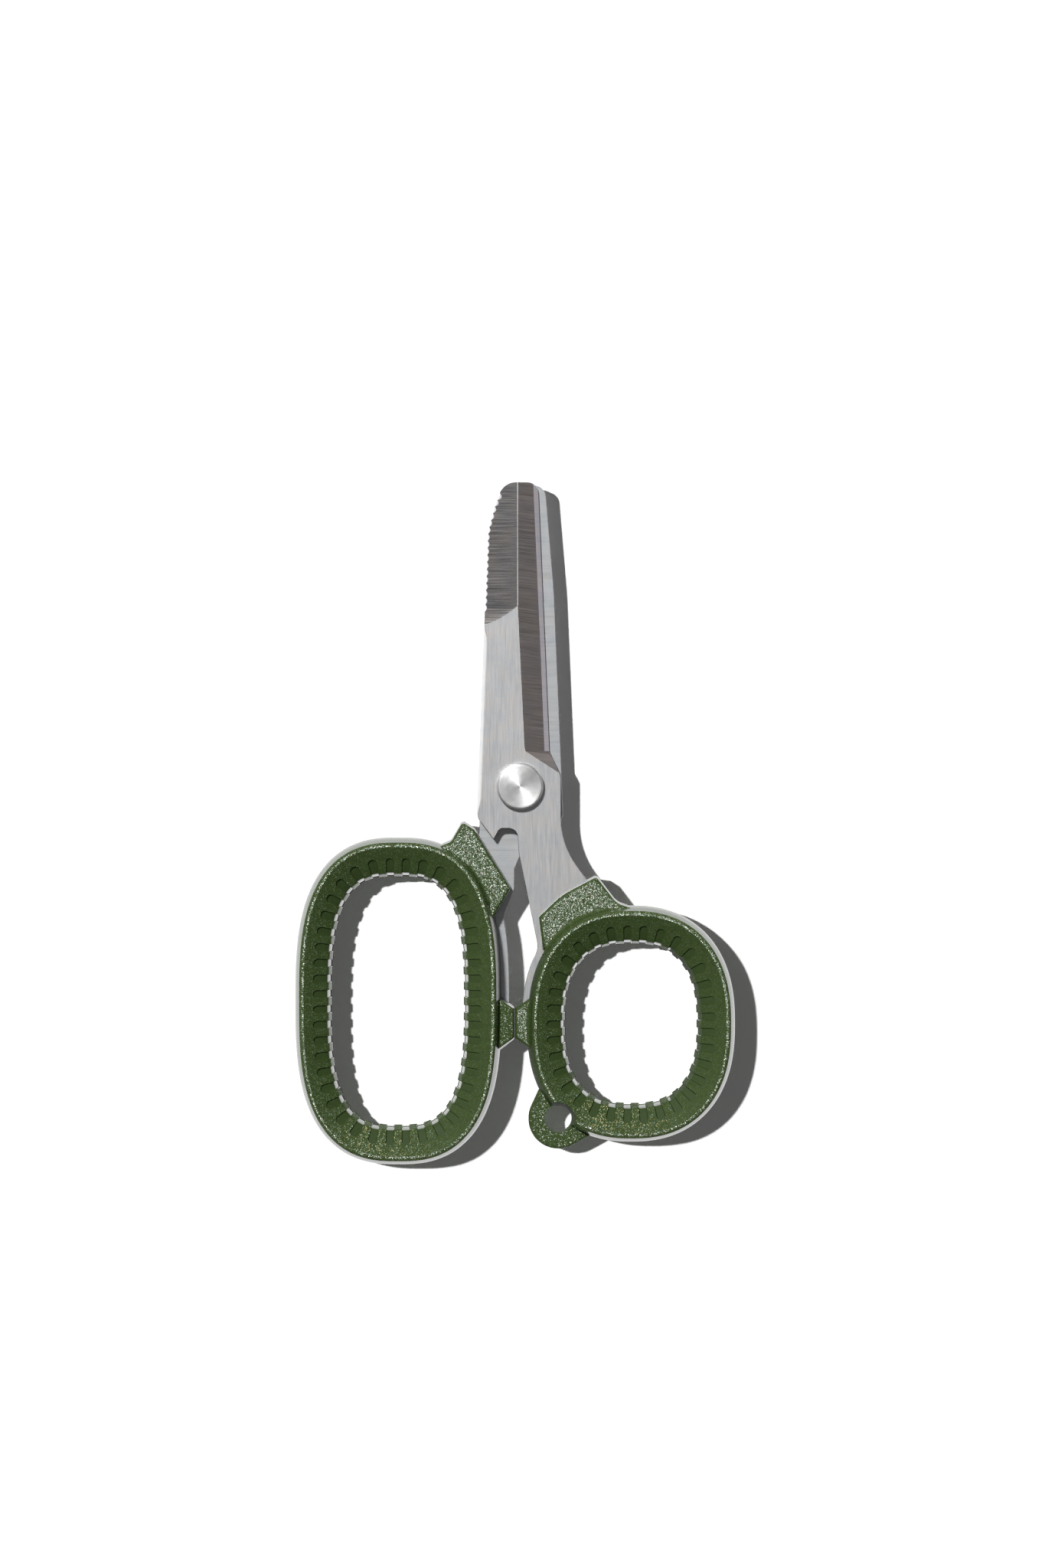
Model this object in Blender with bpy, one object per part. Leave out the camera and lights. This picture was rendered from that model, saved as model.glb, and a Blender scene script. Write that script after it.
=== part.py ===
"""Compact craft scissors with a serrated spine, moulded grip handles and a lanyard eyelet.

Each half is a blade with its handle, drawn in a half frame: the pivot axis is Z through the origin,
the tip points to +Y, and the cutting edge and the handle lie on +X. The thumb half stands as drawn,
and the finger half is turned half a turn about Y, so that its blade lies under the other one.
Lengths are metres.
"""

import math

import bmesh
import bpy
import numpy as np

# Blade plates
BLADE_THICKNESS = 0.0015
BLADE_GAP = 0.0003
BLADE_REACH = 0.0450
REAR_TIP_SHORTFALL = 0.0004
EDGE_OUT_AT_TIP = 0.00265
EDGE_OUT_AT_HEEL = 0.00433
HEEL_HEIGHT = 0.0052
BOSS_EDGE_SIDE = 0.0060
BOSS_SHOULDER_HEIGHT = 0.0015
BOSS_SPINE_SIDE = 0.0064
BOSS_FOOT_DEPTH = 0.0045
BOSS_FOOT_ROUND = 0.0020
HEEL_ROUND = 0.0010
SPINE_OUT_AT_TIP = 0.00475
SPINE_TURN_DROP = 0.0071
SPINE_TURN_ROUND = 0.0100
TIP_FLAT_OUT = 0.00235
TIP_FLAT_ROUND = 0.0026
TIP_BULGE_OUT = 0.00375
TIP_BULGE_DROP = 0.0034
TIP_BULGE_ROUND = 0.0060
FRONT_TIP_ROUND = 0.0006
REAR_TIP_ROUND = 0.0025
REAR_SPINE_OUT_AT_TIP = 0.0037
REAR_SPINE_TIP_ROUND = 0.0014

# Hooked notch under the boss, and the shank down to the handle
HOOK_OUT = 0.0039
HOOK_DEPTH = 0.0078
HOOK_ROUND = 0.0001
NOTCH_HOOK_OUT = 0.0030
NOTCH_HOOK_ROUND = 0.0008
NOTCH_TOP_DEPTH = 0.0062
NOTCH_SHANK_OUT = 0.0004
NOTCH_SHANK_ROUND = 0.0014
SHANK_TOP_OUT = 0.0002
SHANK_TOP_DEPTH = 0.0097
SHANK_ROUND = 0.0010
SHANK_SWEEP_RADIUS = 0.020
SHANK_SWEEP_DEPTH = 0.0086
REAR_WAIST_OUT = 0.00085
REAR_WAIST_TOP_DEPTH = 0.0123
REAR_WAIST_FOOT_DEPTH = 0.0152

# Tangs inside the handles
FRONT_TANG_TOP_DEPTH = 0.0240
FRONT_TANG_SHOULDER_OUT = 0.0108
FRONT_TANG_SHOULDER_TOP_DEPTH = 0.0151
FRONT_TANG_SHOULDER_FOOT_DEPTH = 0.0185
REAR_TANG_TOP_DEPTH = 0.0192
REAR_TANG_INNER_DEPTH = 0.0180
REAR_TANG_SHOULDER_OUT = 0.0095
REAR_TANG_SHOULDER_DEPTH = 0.0135

# Grinds on the blades
RIDGE_OUT = 0.00034
BEVEL_TOP_AT_TIP = 0.0012
BEVEL_TOP_AT_HEEL = 0.00067
BEVEL_HEEL_HEIGHT = 0.0058
BEVEL_TURN_OUT = 0.0008
BEVEL_RUNOUT_FOOT = 0.0022
BEVEL_EDGE_THICKNESS = 0.00045
HONED_WIDTH = 0.0007
HONED_EDGE_THICKNESS = 0.00012
SPINE_GRIND_LENGTH = 0.0183
SPINE_GRIND_RADIUS = 0.0083
SPINE_GRIND_WALL = 0.0005
SPINE_GRIND_SLOPE = math.radians(40)
SPINE_GRIND_SWEEP = math.radians(47)
SPINE_EDGE_THICKNESS = 0.00045
SCALLOP_PITCH = 0.00103
SCALLOP_DEPTH = 0.0002
SCALLOP_FIRST_DROP = 0.0016
SCALLOP_LAST_DROP = 0.0191

# Pivot
PIN_RADIUS = 0.0018
RUNNING_CLEARANCE = 0.00005
RIVET_HEAD_RADIUS = 0.00345
RIVET_HEAD_HEIGHT = 0.0011
RIVET_CHAMFER = 0.00035
SPRING_WASHER_RADIUS = 0.0031
SPRING_WASHER_THICKNESS = 0.0003
SPRING_WASHER_DISH = 0.00015
CAP_RADIUS = 0.0029
CAP_HEIGHT = 0.0010
CAP_FLOOR = 0.0005
GLIDE_WASHER_RADIUS = 0.0040
GLIDE_WASHER_THICKNESS = 0.0002

# Handle section, the same in both bows
HANDLE_THICKNESS = 0.0090
INNER_EDGE_THICKNESS = 0.0052
OUTER_DRAFT = 0.0007
CREST_ROUND = 0.0004
CREST_LAND = 0.0003
INNER_DRAFT = 0.0005
GRIP_PITCH = 0.00227
GRIP_WIDTH = 0.00103
GRIP_LENGTH = 0.0022
GRIP_DEPTH = 0.0003
GRIP_WALL_RUN = 0.00012
COLLAR_COVER = 0.0012
COLLAR_RIM = 0.0003
TANG_CLEARANCE = 0.0002
TANG_WALL = 0.0019
COLLAR_TOE_ROUND = 0.0004

# Finger bow
FINGER_CENTRE_OUT = 0.01804
FINGER_CENTRE_DEPTH = 0.03179
FINGER_HOLE_HALF_WIDTH = 0.01026
FINGER_HOLE_HALF_LENGTH = 0.01888
FINGER_SQUARENESS = 2.99
FINGER_SIDE_BAND = 0.0050
FINGER_END_BAND = 0.00534
FINGER_TANG_SHOWN = 0.0012
FINGER_COLLAR_TOE = (0.0014, -0.0151)
FINGER_COLLAR_ROOT = (0.0034, -0.0184)
FINGER_COLLAR_BACK = (0.0125, -0.0091)
FINGER_COLLAR_SADDLE = (0.0102, -0.0082)
FINGER_COLLAR_SADDLE_ROUND = 0.0012
FINGER_COLLAR_HORN = (0.0085, -0.0053)
FINGER_COLLAR_BROW = (0.0068, -0.0064)
FINGER_COLLAR_BROW_ROUND = 0.0006
FINGER_COLLAR_TURNS = (162, 108)

# Thumb bow
THUMB_CENTRE_OUT = 0.01645
THUMB_CENTRE_DEPTH = 0.03515
THUMB_HOLE_HALF_WIDTH = 0.01026
THUMB_HOLE_HALF_LENGTH = 0.0123
THUMB_SQUARENESS = 2.52
THUMB_SIDE_BAND = 0.00515
THUMB_END_BAND = 0.0052
THUMB_TANG_SHOWN = 0.00075
THUMB_COLLAR_TOE = (0.0028, -0.0193)
THUMB_COLLAR_ROOT = (0.0034, -0.0240)
THUMB_COLLAR_BACK = (0.0165, -0.0180)
THUMB_COLLAR_SADDLE = (0.0143, -0.0173)
THUMB_COLLAR_SADDLE_ROUND = 0.0030
THUMB_COLLAR_HORN = (0.0113, -0.0134)
THUMB_COLLAR_BROW = (0.0062, -0.0160)
THUMB_COLLAR_BROW_ROUND = 0.0120
THUMB_COLLAR_TURNS = (138, 92)

# Closing stop and lanyard eyelet
STOP_PLANE_OUT = -0.00079
STOP_GAP = 0.0003
STOP_TOP_DEPTH = 0.0329
STOP_FACE_LENGTH = 0.0043
STOP_SLOPE = 0.7
STOP_THICKNESS = 0.0052
EYELET_TURN = math.radians(231)
EYELET_STANDOFF = 0.00025
EYELET_HOLE_RADIUS = 0.0020
EYELET_RIM = 0.0024
EYELET_THICKNESS = 0.0036
EYELET_LIP = 0.0007
EYELET_NECK_SPREAD = math.radians(22)
EYELET_NECK_SINK = 0.0010

# Drawing steps
ARC_STEP = math.radians(10)
CURVE_STEPS = 6
TURNED_STEPS = 48
HOLE_STEPS = 32
SCALLOP_STEPS = 5
CURVE_SAMPLES = 1441
SMOOTH_ANGLE = math.radians(30)
MITRE_LIMIT = 0.5
CUT_MARGIN = 0.0010
TINY = 1e-12

STEEL = (0.72, 0.72, 0.73)
GREEN = (0.040, 0.075, 0.020)
POLYMER = (0.80, 0.80, 0.78)

BLADE_FOOT = BLADE_GAP / 2
BLADE_TOP = BLADE_FOOT + BLADE_THICKNESS
COLLAR_THICKNESS = 2 * (BLADE_TOP + COLLAR_COVER)


def rounded(corners):
    """Closed outline through corners given as (x, y, radius), each radius limited by its two sides."""
    points = []
    for index, (x, y, radius) in enumerate(corners):
        here = np.array((x, y))
        before = np.array(corners[index - 1][:2]) - here
        after = np.array(corners[(index + 1) % len(corners)][:2]) - here
        sides = np.linalg.norm(before), np.linalg.norm(after)
        before = before / sides[0]
        after = after / sides[1]
        opening = math.acos(max(-1.0, min(1.0, float(before @ after))))
        turn = math.pi - opening
        if radius == 0 or turn < ARC_STEP / 4:
            points.append((x, y))
            continue
        tangent = min(radius * math.tan(turn / 2), min(sides) / 2)
        radius = tangent / math.tan(turn / 2)
        middle = before + after
        centre = here + middle / np.linalg.norm(middle) * radius / math.cos(turn / 2)
        start = here + before * tangent - centre
        side = 1 if before[0] * after[1] - before[1] * after[0] < 0 else -1
        steps = max(1, math.ceil(turn / ARC_STEP))
        for step in range(steps + 1):
            angle = side * turn * step / steps
            cosine, sine = math.cos(angle), math.sin(angle)
            points.append((
                centre[0] + start[0] * cosine - start[1] * sine,
                centre[1] + start[0] * sine + start[1] * cosine,
            ))
    return points


def grown(outline, distance):
    """The counter-clockwise outline moved outwards by a distance."""
    moved = []
    for index, point in enumerate(outline):
        here = np.array(point)
        before = here - np.array(outline[index - 1])
        after = np.array(outline[(index + 1) % len(outline)]) - here
        before = before / np.linalg.norm(before)
        after = after / np.linalg.norm(after)
        normal = np.array((before[1] + after[1], -before[0] - after[0]))
        normal = normal / np.linalg.norm(normal)
        lean = max(MITRE_LIMIT, float(normal @ (before[1], -before[0])))
        moved.append(tuple(here + normal * distance / lean))
    return moved


def scalloped(outline, top, bottom):
    """The outline with round bites along its spine side, from one height down to another."""
    points = np.array(outline)
    steps = np.linalg.norm(np.diff(points, axis=0), axis=1)
    run = np.concatenate(([0.0], np.cumsum(steps)))
    spine = (points[:, 0] < -RIDGE_OUT) & (points[:, 1] > -BOSS_FOOT_DEPTH)
    first, last = np.interp((-top, -bottom), -points[spine, 1], run[spine])
    count = round((last - first) / SCALLOP_PITCH)
    bites = []
    for step in range(count * SCALLOP_STEPS + 1):
        place = first + (last - first) * step / (count * SCALLOP_STEPS)
        x = np.interp(place, run, points[:, 0])
        y = np.interp(place, run, points[:, 1])
        bite = SCALLOP_DEPTH * abs(math.sin(math.pi * step / SCALLOP_STEPS))
        bites.append((x + bite, y))
    above = [tuple(point) for point in points[run < first]]
    below = [tuple(point) for point in points[run > last]]
    return above + bites + below


class Bow:
    """A finger loop: a squared ellipse round the hole, where the grip face meets the hole's wall."""

    def __init__(self, out, depth, half_width, half_length, squareness, side_band, end_band):
        self.centre = np.array((out, -depth))
        self.half = np.array((half_width, half_length))
        self.power = squareness
        self.bands = np.array((side_band, end_band))
        turns = np.linspace(0, 2 * math.pi, CURVE_SAMPLES)
        edge = np.array([self.edge(turn)[0] for turn in turns])
        self.turns = turns
        self.run = np.concatenate(([0.0], np.cumsum(np.linalg.norm(np.diff(edge, axis=0), axis=1))))

    def edge(self, turn):
        """Point on the hole's edge and its outward normal."""
        wave = np.array((math.cos(turn), math.sin(turn)))
        size = np.abs(wave) + TINY
        point = self.centre + self.half * np.sign(wave) * size ** (2 / self.power)
        normal = np.sign(wave) * size ** (2 - 2 / self.power) / self.half
        return point, normal / np.linalg.norm(normal)

    def band(self, turn):
        """Width of the ring there."""
        return float(self.bands @ self.edge(turn)[1] ** 2)

    def at(self, turn, outwards):
        """Point at a distance outside the hole's edge."""
        point, normal = self.edge(turn)
        return point + normal * outwards

    def turn_at_run(self, place):
        """The turn at a distance along the hole's edge."""
        return float(np.interp(place, self.run, self.turns))

    def beside(self, depth, share, extra):
        """Point on the pivot side of the ring at a depth, at a share of its band and an extra distance."""
        turns = np.linspace(math.pi / 2, 3 * math.pi / 2, CURVE_SAMPLES)
        points = np.array([self.at(turn, share * self.band(turn) + extra) for turn in turns])
        turn = float(np.interp(depth, -points[:, 1], turns))
        return tuple(self.at(turn, share * self.band(turn) + extra))

    def outer_half(self):
        """Half width and half length over the outside."""
        return self.half + self.bands


FINGER_BOW = Bow(FINGER_CENTRE_OUT, FINGER_CENTRE_DEPTH, FINGER_HOLE_HALF_WIDTH,
                 FINGER_HOLE_HALF_LENGTH, FINGER_SQUARENESS, FINGER_SIDE_BAND, FINGER_END_BAND)
THUMB_BOW = Bow(THUMB_CENTRE_OUT, THUMB_CENTRE_DEPTH, THUMB_HOLE_HALF_WIDTH,
                THUMB_HOLE_HALF_LENGTH, THUMB_SQUARENESS, THUMB_SIDE_BAND, THUMB_END_BAND)


def material(name, colour, roughness, metallic):
    """A plain finish."""
    finish = bpy.data.materials.new(name)
    finish.use_nodes = True
    shader = finish.node_tree.nodes["Principled BSDF"]
    shader.inputs["Base Color"].default_value = (*colour, 1.0)
    shader.inputs["Roughness"].default_value = roughness
    shader.inputs["Metallic"].default_value = metallic
    return finish


def add_object(name, shape, half, finish=None, smooth=False):
    """Turns a bmesh into an object of one half, a hidden guide if it has no finish."""
    bmesh.ops.recalc_face_normals(shape, faces=shape.faces)
    mesh = bpy.data.meshes.new(name)
    shape.to_mesh(mesh)
    shape.free()
    item = bpy.data.objects.new(name, mesh)
    bpy.context.collection.objects.link(item)
    item.parent = half
    if smooth:
        mesh.shade_smooth()
        mesh.set_sharp_from_angle(angle=SMOOTH_ANGLE)
    if finish:
        mesh.materials.append(finish)
    else:
        item.hide_render = True
        item.display_type = "WIRE"
    return item


def combine(target, other, operation):
    """Adds a Boolean of another object to the target."""
    boolean = target.modifiers.new(other.name, "BOOLEAN")
    boolean.object = other
    boolean.operation = operation
    boolean.solver = "EXACT"


def plate(outline, low, high, rim=0.0):
    """A flat plate of one outline, with both rims chamfered."""
    layers = [(outline, low), (outline, high)]
    if rim:
        inset = grown(outline, -rim)
        layers = [(inset, low), (outline, low + rim), (outline, high - rim), (inset, high)]
    shape = bmesh.new()
    loops = [[shape.verts.new((x, y, height)) for x, y in points] for points, height in layers]
    shape.faces.new(loops[0][::-1])
    shape.faces.new(loops[-1])
    for below, above in zip(loops, loops[1:]):
        for index in range(len(outline)):
            shape.faces.new((below[index - 1], below[index], above[index], above[index - 1]))
    return shape


def hull(points):
    """The convex solid round a set of points."""
    shape = bmesh.new()
    for point in points:
        shape.verts.new(point)
    made = bmesh.ops.convex_hull(shape, input=shape.verts)
    spare = [item for item in made["geom_interior"] if isinstance(item, bmesh.types.BMVert)]
    bmesh.ops.delete(shape, geom=spare, context="VERTS")
    return shape


def turned(profile, closed):
    """A piece turned about Z from a profile of (radius, height)."""
    shape = bmesh.new()
    verts = [shape.verts.new((radius, 0, height)) for radius, height in profile]
    edges = [shape.edges.new(pair) for pair in zip(verts, verts[1:])]
    if closed:
        edges.append(shape.edges.new((verts[-1], verts[0])))
    bmesh.ops.spin(shape, geom=verts + edges, cent=(0, 0, 0), axis=(0, 0, 1), dvec=(0, 0, 0),
                   angle=2 * math.pi, steps=TURNED_STEPS, use_merge=True)
    bmesh.ops.remove_doubles(shape, verts=shape.verts, dist=1e-7)
    return shape


def circle(centre, radius, steps):
    """Points round a circle."""
    angles = [2 * math.pi * step / steps for step in range(steps)]
    return [(centre[0] + radius * math.cos(a), centre[1] + radius * math.sin(a)) for a in angles]


def boss_corners():
    """Corners shared by both blades from the spine round the hooked notch to the shank."""
    return [
        (-BOSS_SPINE_SIDE, -BOSS_FOOT_DEPTH, BOSS_FOOT_ROUND),
        (-HOOK_OUT, -HOOK_DEPTH, HOOK_ROUND),
        (-NOTCH_HOOK_OUT, -NOTCH_TOP_DEPTH, NOTCH_HOOK_ROUND),
        (-NOTCH_SHANK_OUT, -NOTCH_TOP_DEPTH, NOTCH_SHANK_ROUND),
        (-SHANK_TOP_OUT, -SHANK_TOP_DEPTH, SHANK_ROUND),
    ]


def edge_corners(tip, tip_round):
    """Corners shared by both blades along the shank's outer side and the cutting edge, up to the tip."""
    return [
        (BOSS_EDGE_SIDE, -SHANK_SWEEP_DEPTH, SHANK_SWEEP_RADIUS),
        (BOSS_EDGE_SIDE, BOSS_SHOULDER_HEIGHT, HEEL_ROUND),
        (EDGE_OUT_AT_HEEL, HEEL_HEIGHT, HEEL_ROUND),
        (EDGE_OUT_AT_TIP, tip, tip_round),
    ]


def tang_corners(bow, shown, shown_depth, inner_depth):
    """The tang down the pivot side of a bow: a strip left showing outside, and its buried inner side."""
    foot = STOP_TOP_DEPTH
    outer = [bow.beside(depth, 1, shown) for depth in np.linspace(shown_depth, foot, CURVE_STEPS)]
    inner = [bow.beside(depth, 0, TANG_WALL) for depth in np.linspace(foot, inner_depth, CURVE_STEPS)]
    return [(*point, 0.0) for point in outer + inner]


def front_outline():
    """Front blade with its rounded tip, in the thumb half."""
    tip = BLADE_REACH
    tang = tang_corners(THUMB_BOW, THUMB_TANG_SHOWN, FRONT_TANG_TOP_DEPTH, FRONT_TANG_TOP_DEPTH)
    return rounded(edge_corners(tip, FRONT_TIP_ROUND) + [
        (-TIP_FLAT_OUT, tip, TIP_FLAT_ROUND),
        (-TIP_BULGE_OUT, tip - TIP_BULGE_DROP, TIP_BULGE_ROUND),
        (-SPINE_OUT_AT_TIP, tip - SPINE_TURN_DROP, SPINE_TURN_ROUND),
    ] + boss_corners() + tang + [
        (FRONT_TANG_SHOULDER_OUT, -FRONT_TANG_SHOULDER_FOOT_DEPTH, SHANK_ROUND),
        (FRONT_TANG_SHOULDER_OUT, -FRONT_TANG_SHOULDER_TOP_DEPTH, 0.0),
    ])


def rear_outline():
    """Rear blade, in the finger half."""
    tip = BLADE_REACH - REAR_TIP_SHORTFALL
    tang = tang_corners(FINGER_BOW, FINGER_TANG_SHOWN, REAR_TANG_TOP_DEPTH, REAR_TANG_INNER_DEPTH)
    return rounded(edge_corners(tip, REAR_TIP_ROUND) + [
        (-REAR_SPINE_OUT_AT_TIP, tip, REAR_SPINE_TIP_ROUND),
    ] + boss_corners() + [
        (REAR_WAIST_OUT, -REAR_WAIST_TOP_DEPTH, SHANK_ROUND),
        (REAR_WAIST_OUT, -REAR_WAIST_FOOT_DEPTH, SHANK_ROUND),
    ] + tang + [
        (REAR_TANG_SHOULDER_OUT, -REAR_TANG_SHOULDER_DEPTH, SHANK_ROUND),
    ])


def edge_out(height, tip):
    """How far out the cutting edge lies at a height."""
    share = (height - HEEL_HEIGHT) / (tip - HEEL_HEIGHT)
    return EDGE_OUT_AT_HEEL + share * (EDGE_OUT_AT_TIP - EDGE_OUT_AT_HEEL)


def bevel_top_out(height, tip):
    """Where the cutting bevel meets the blade's face at a height."""
    share = (height - BEVEL_HEEL_HEIGHT) / (tip - BEVEL_HEEL_HEIGHT)
    return BEVEL_TOP_AT_HEEL - share * (BEVEL_TOP_AT_HEEL + BEVEL_TOP_AT_TIP)


def bevel_height(out, height, tip):
    """Height of the cutting bevel's surface above a point of the plate."""
    top = bevel_top_out(height, tip)
    share = (out - top) / (edge_out(height, tip) - top)
    return BLADE_TOP - share * (BLADE_THICKNESS - BEVEL_EDGE_THICKNESS)


def raised(points):
    """The points with copies of them above the blade."""
    above = BLADE_TOP + CUT_MARGIN
    return points + [(x, y, above) for x, y, z in points]


def cutting_bevel(tip):
    """Cutter for the main bevel, from the tip to its slanting run-out above the boss."""
    end = tip + CUT_MARGIN
    far_tip = edge_out(end, tip) + CUT_MARGIN
    far_heel = EDGE_OUT_AT_HEEL + CUT_MARGIN
    turn = HEEL_HEIGHT - CUT_MARGIN / 2
    foot_out = BOSS_EDGE_SIDE + CUT_MARGIN
    return hull(raised([
        (bevel_top_out(end, tip), end, BLADE_TOP),
        (BEVEL_TOP_AT_HEEL, BEVEL_HEEL_HEIGHT, BLADE_TOP),
        (BEVEL_TURN_OUT, HEEL_HEIGHT, BLADE_TOP),
        (foot_out, BEVEL_RUNOUT_FOOT - CUT_MARGIN, BLADE_TOP),
        (far_heel, turn, bevel_height(far_heel, turn, tip)),
        (far_tip, end, bevel_height(far_tip, end, tip)),
    ]))


def honed_edge(tip):
    """Cutter for the narrow honed face along the cutting edge."""
    points = []
    for height in (HEEL_HEIGHT, tip + CUT_MARGIN):
        edge = edge_out(height, tip)
        start = edge - HONED_WIDTH
        beyond = edge + CUT_MARGIN / 2
        high = bevel_height(start, height, tip)
        drop = (high - BLADE_FOOT - HONED_EDGE_THICKNESS) / HONED_WIDTH
        points.append((start, height, high))
        points.append((beyond, height, high - drop * (beyond - start)))
    return hull(raised(points))


def spine_grind(tip):
    """Cutter for the serrated side's grind, which ends in an arc as a round wheel leaves it."""
    end = tip + CUT_MARGIN
    foot = tip - SPINE_GRIND_LENGTH
    far = BOSS_SPINE_SIDE + CUT_MARGIN
    lean = (BLADE_TOP - bevel_height(-RIDGE_OUT, end, tip)) / (end - foot)
    fall = (BLADE_THICKNESS - SPINE_EDGE_THICKNESS) / (SPINE_OUT_AT_TIP - RIDGE_OUT)

    def surface(x, y):
        return BLADE_TOP - fall * (-RIDGE_OUT - x) - lean * (y - foot)

    points = [(-RIDGE_OUT, end, surface(-RIDGE_OUT, end)), (-far, end, surface(-far, end))]
    centre_x = -RIDGE_OUT - SPINE_GRIND_RADIUS * math.sin(SPINE_GRIND_SLOPE)
    centre_y = foot + SPINE_GRIND_RADIUS * math.cos(SPINE_GRIND_SLOPE)
    for step in range(CURVE_STEPS + 1):
        angle = SPINE_GRIND_SLOPE - SPINE_GRIND_SWEEP * step / CURVE_STEPS
        x = centre_x + SPINE_GRIND_RADIUS * math.sin(angle)
        y = centre_y - SPINE_GRIND_RADIUS * math.cos(angle)
        depth = BLADE_TOP - surface(x, y)
        points.append((x, y, BLADE_TOP))
        points.append((x, y + SPINE_GRIND_WALL * depth / BLADE_THICKNESS, surface(x, y)))
    return hull(raised(points))


def blade(name, half, outline, cutters, finish):
    """One blade plate with its pivot hole and grinds."""
    item = add_object(name, plate(outline, BLADE_FOOT, BLADE_TOP), half, finish)
    hole = circle((0, 0), PIN_RADIUS + RUNNING_CLEARANCE, TURNED_STEPS)
    bore = plate(hole, BLADE_FOOT - CUT_MARGIN, BLADE_TOP + CUT_MARGIN)
    combine(item, add_object(name + "_bore", bore, half), "DIFFERENCE")
    for grind, shape in cutters.items():
        combine(item, add_object(f"{name}_{grind}", shape, half), "DIFFERENCE")
    return item


def ring_section(width, sunk):
    """Closed section of a grip ring as (outwards from the hole's edge, height), sunk at a grip notch."""
    half = HANDLE_THICKNESS / 2
    inner = INNER_EDGE_THICKNESS / 2
    land = width - OUTER_DRAFT - CREST_ROUND - CREST_LAND
    slope = (half - inner) / land
    depth = GRIP_DEPTH if sunk else 0.0
    notch_end = GRIP_LENGTH + GRIP_WALL_RUN
    upper = [
        (width - OUTER_DRAFT, half - CREST_ROUND),
        (width - OUTER_DRAFT - CREST_ROUND, half),
        (land, half),
        (notch_end, inner + slope * notch_end),
        (GRIP_LENGTH, inner + slope * GRIP_LENGTH - depth),
        (depth, inner + slope * depth - depth),
    ]
    lower = [(out, -height) for out, height in reversed(upper)]
    return [(width, 0.0)] + upper + [(depth - INNER_DRAFT, 0.0)] + lower


def grip_ring(bow):
    """The ring of a bow, with its grip notches round both faces of the hole."""
    count = round(bow.run[-1] / GRIP_PITCH)
    pitch = bow.run[-1] / count
    half_notch = GRIP_WIDTH / 2
    half_run = GRIP_WALL_RUN / 2
    offsets = [
        (-half_notch - half_run, False),
        (-half_notch + half_run, True),
        (half_notch - half_run, True),
        (half_notch + half_run, False),
    ]
    shape = bmesh.new()
    columns = []
    for index in range(count):
        for offset, sunk in offsets:
            turn = bow.turn_at_run((index + 0.5) * pitch + offset)
            section = ring_section(bow.band(turn), sunk)
            columns.append([shape.verts.new((*bow.at(turn, out), height)) for out, height in section])
    for index, column in enumerate(columns):
        behind = columns[index - 1]
        for row in range(len(column)):
            shape.faces.new((behind[row - 1], behind[row], column[row], column[row - 1]))
    return shape


def collar(bow, turns, toe, root, back, saddle, horn, brow):
    """Outline of the collar that holds a blade, closed along the middle of its bow's ring."""
    middle = []
    for turn in np.radians(np.linspace(*turns, CURVE_STEPS)):
        middle.append((*bow.at(turn, bow.band(turn) / 2), 0.0))
    outer = [(*back, 0.0), saddle, (*horn, COLLAR_TOE_ROUND), brow]
    return rounded([(*toe, COLLAR_TOE_ROUND), (*root, 0.0)] + middle + outer)


def thumb_collar():
    """Collar of the front blade."""
    return collar(THUMB_BOW, THUMB_COLLAR_TURNS, THUMB_COLLAR_TOE, THUMB_COLLAR_ROOT, THUMB_COLLAR_BACK,
                  (*THUMB_COLLAR_SADDLE, THUMB_COLLAR_SADDLE_ROUND), THUMB_COLLAR_HORN,
                  (*THUMB_COLLAR_BROW, THUMB_COLLAR_BROW_ROUND))


def finger_collar():
    """Collar of the rear blade."""
    return collar(FINGER_BOW, FINGER_COLLAR_TURNS, FINGER_COLLAR_TOE, FINGER_COLLAR_ROOT, FINGER_COLLAR_BACK,
                  (*FINGER_COLLAR_SADDLE, FINGER_COLLAR_SADDLE_ROUND), FINGER_COLLAR_HORN,
                  (*FINGER_COLLAR_BROW, FINGER_COLLAR_BROW_ROUND))


def stop_lug(bow, face):
    """Outline of the stop that meets the other handle's stop when the scissors close."""
    root = bow.centre[0] - bow.half[0] - bow.bands[0] / 2
    flare = STOP_SLOPE * (root - face)
    foot = STOP_TOP_DEPTH + STOP_FACE_LENGTH
    return [
        (root, flare - STOP_TOP_DEPTH),
        (face, -STOP_TOP_DEPTH),
        (face, -foot),
        (root, -foot - flare),
    ]


def add_block(handle, name, outline, thickness, half):
    """Joins a flat block with chamfered rims to a handle."""
    shape = plate(outline, -thickness / 2, thickness / 2, COLLAR_RIM)
    combine(handle, add_object(name, shape, half), "UNION")


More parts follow.
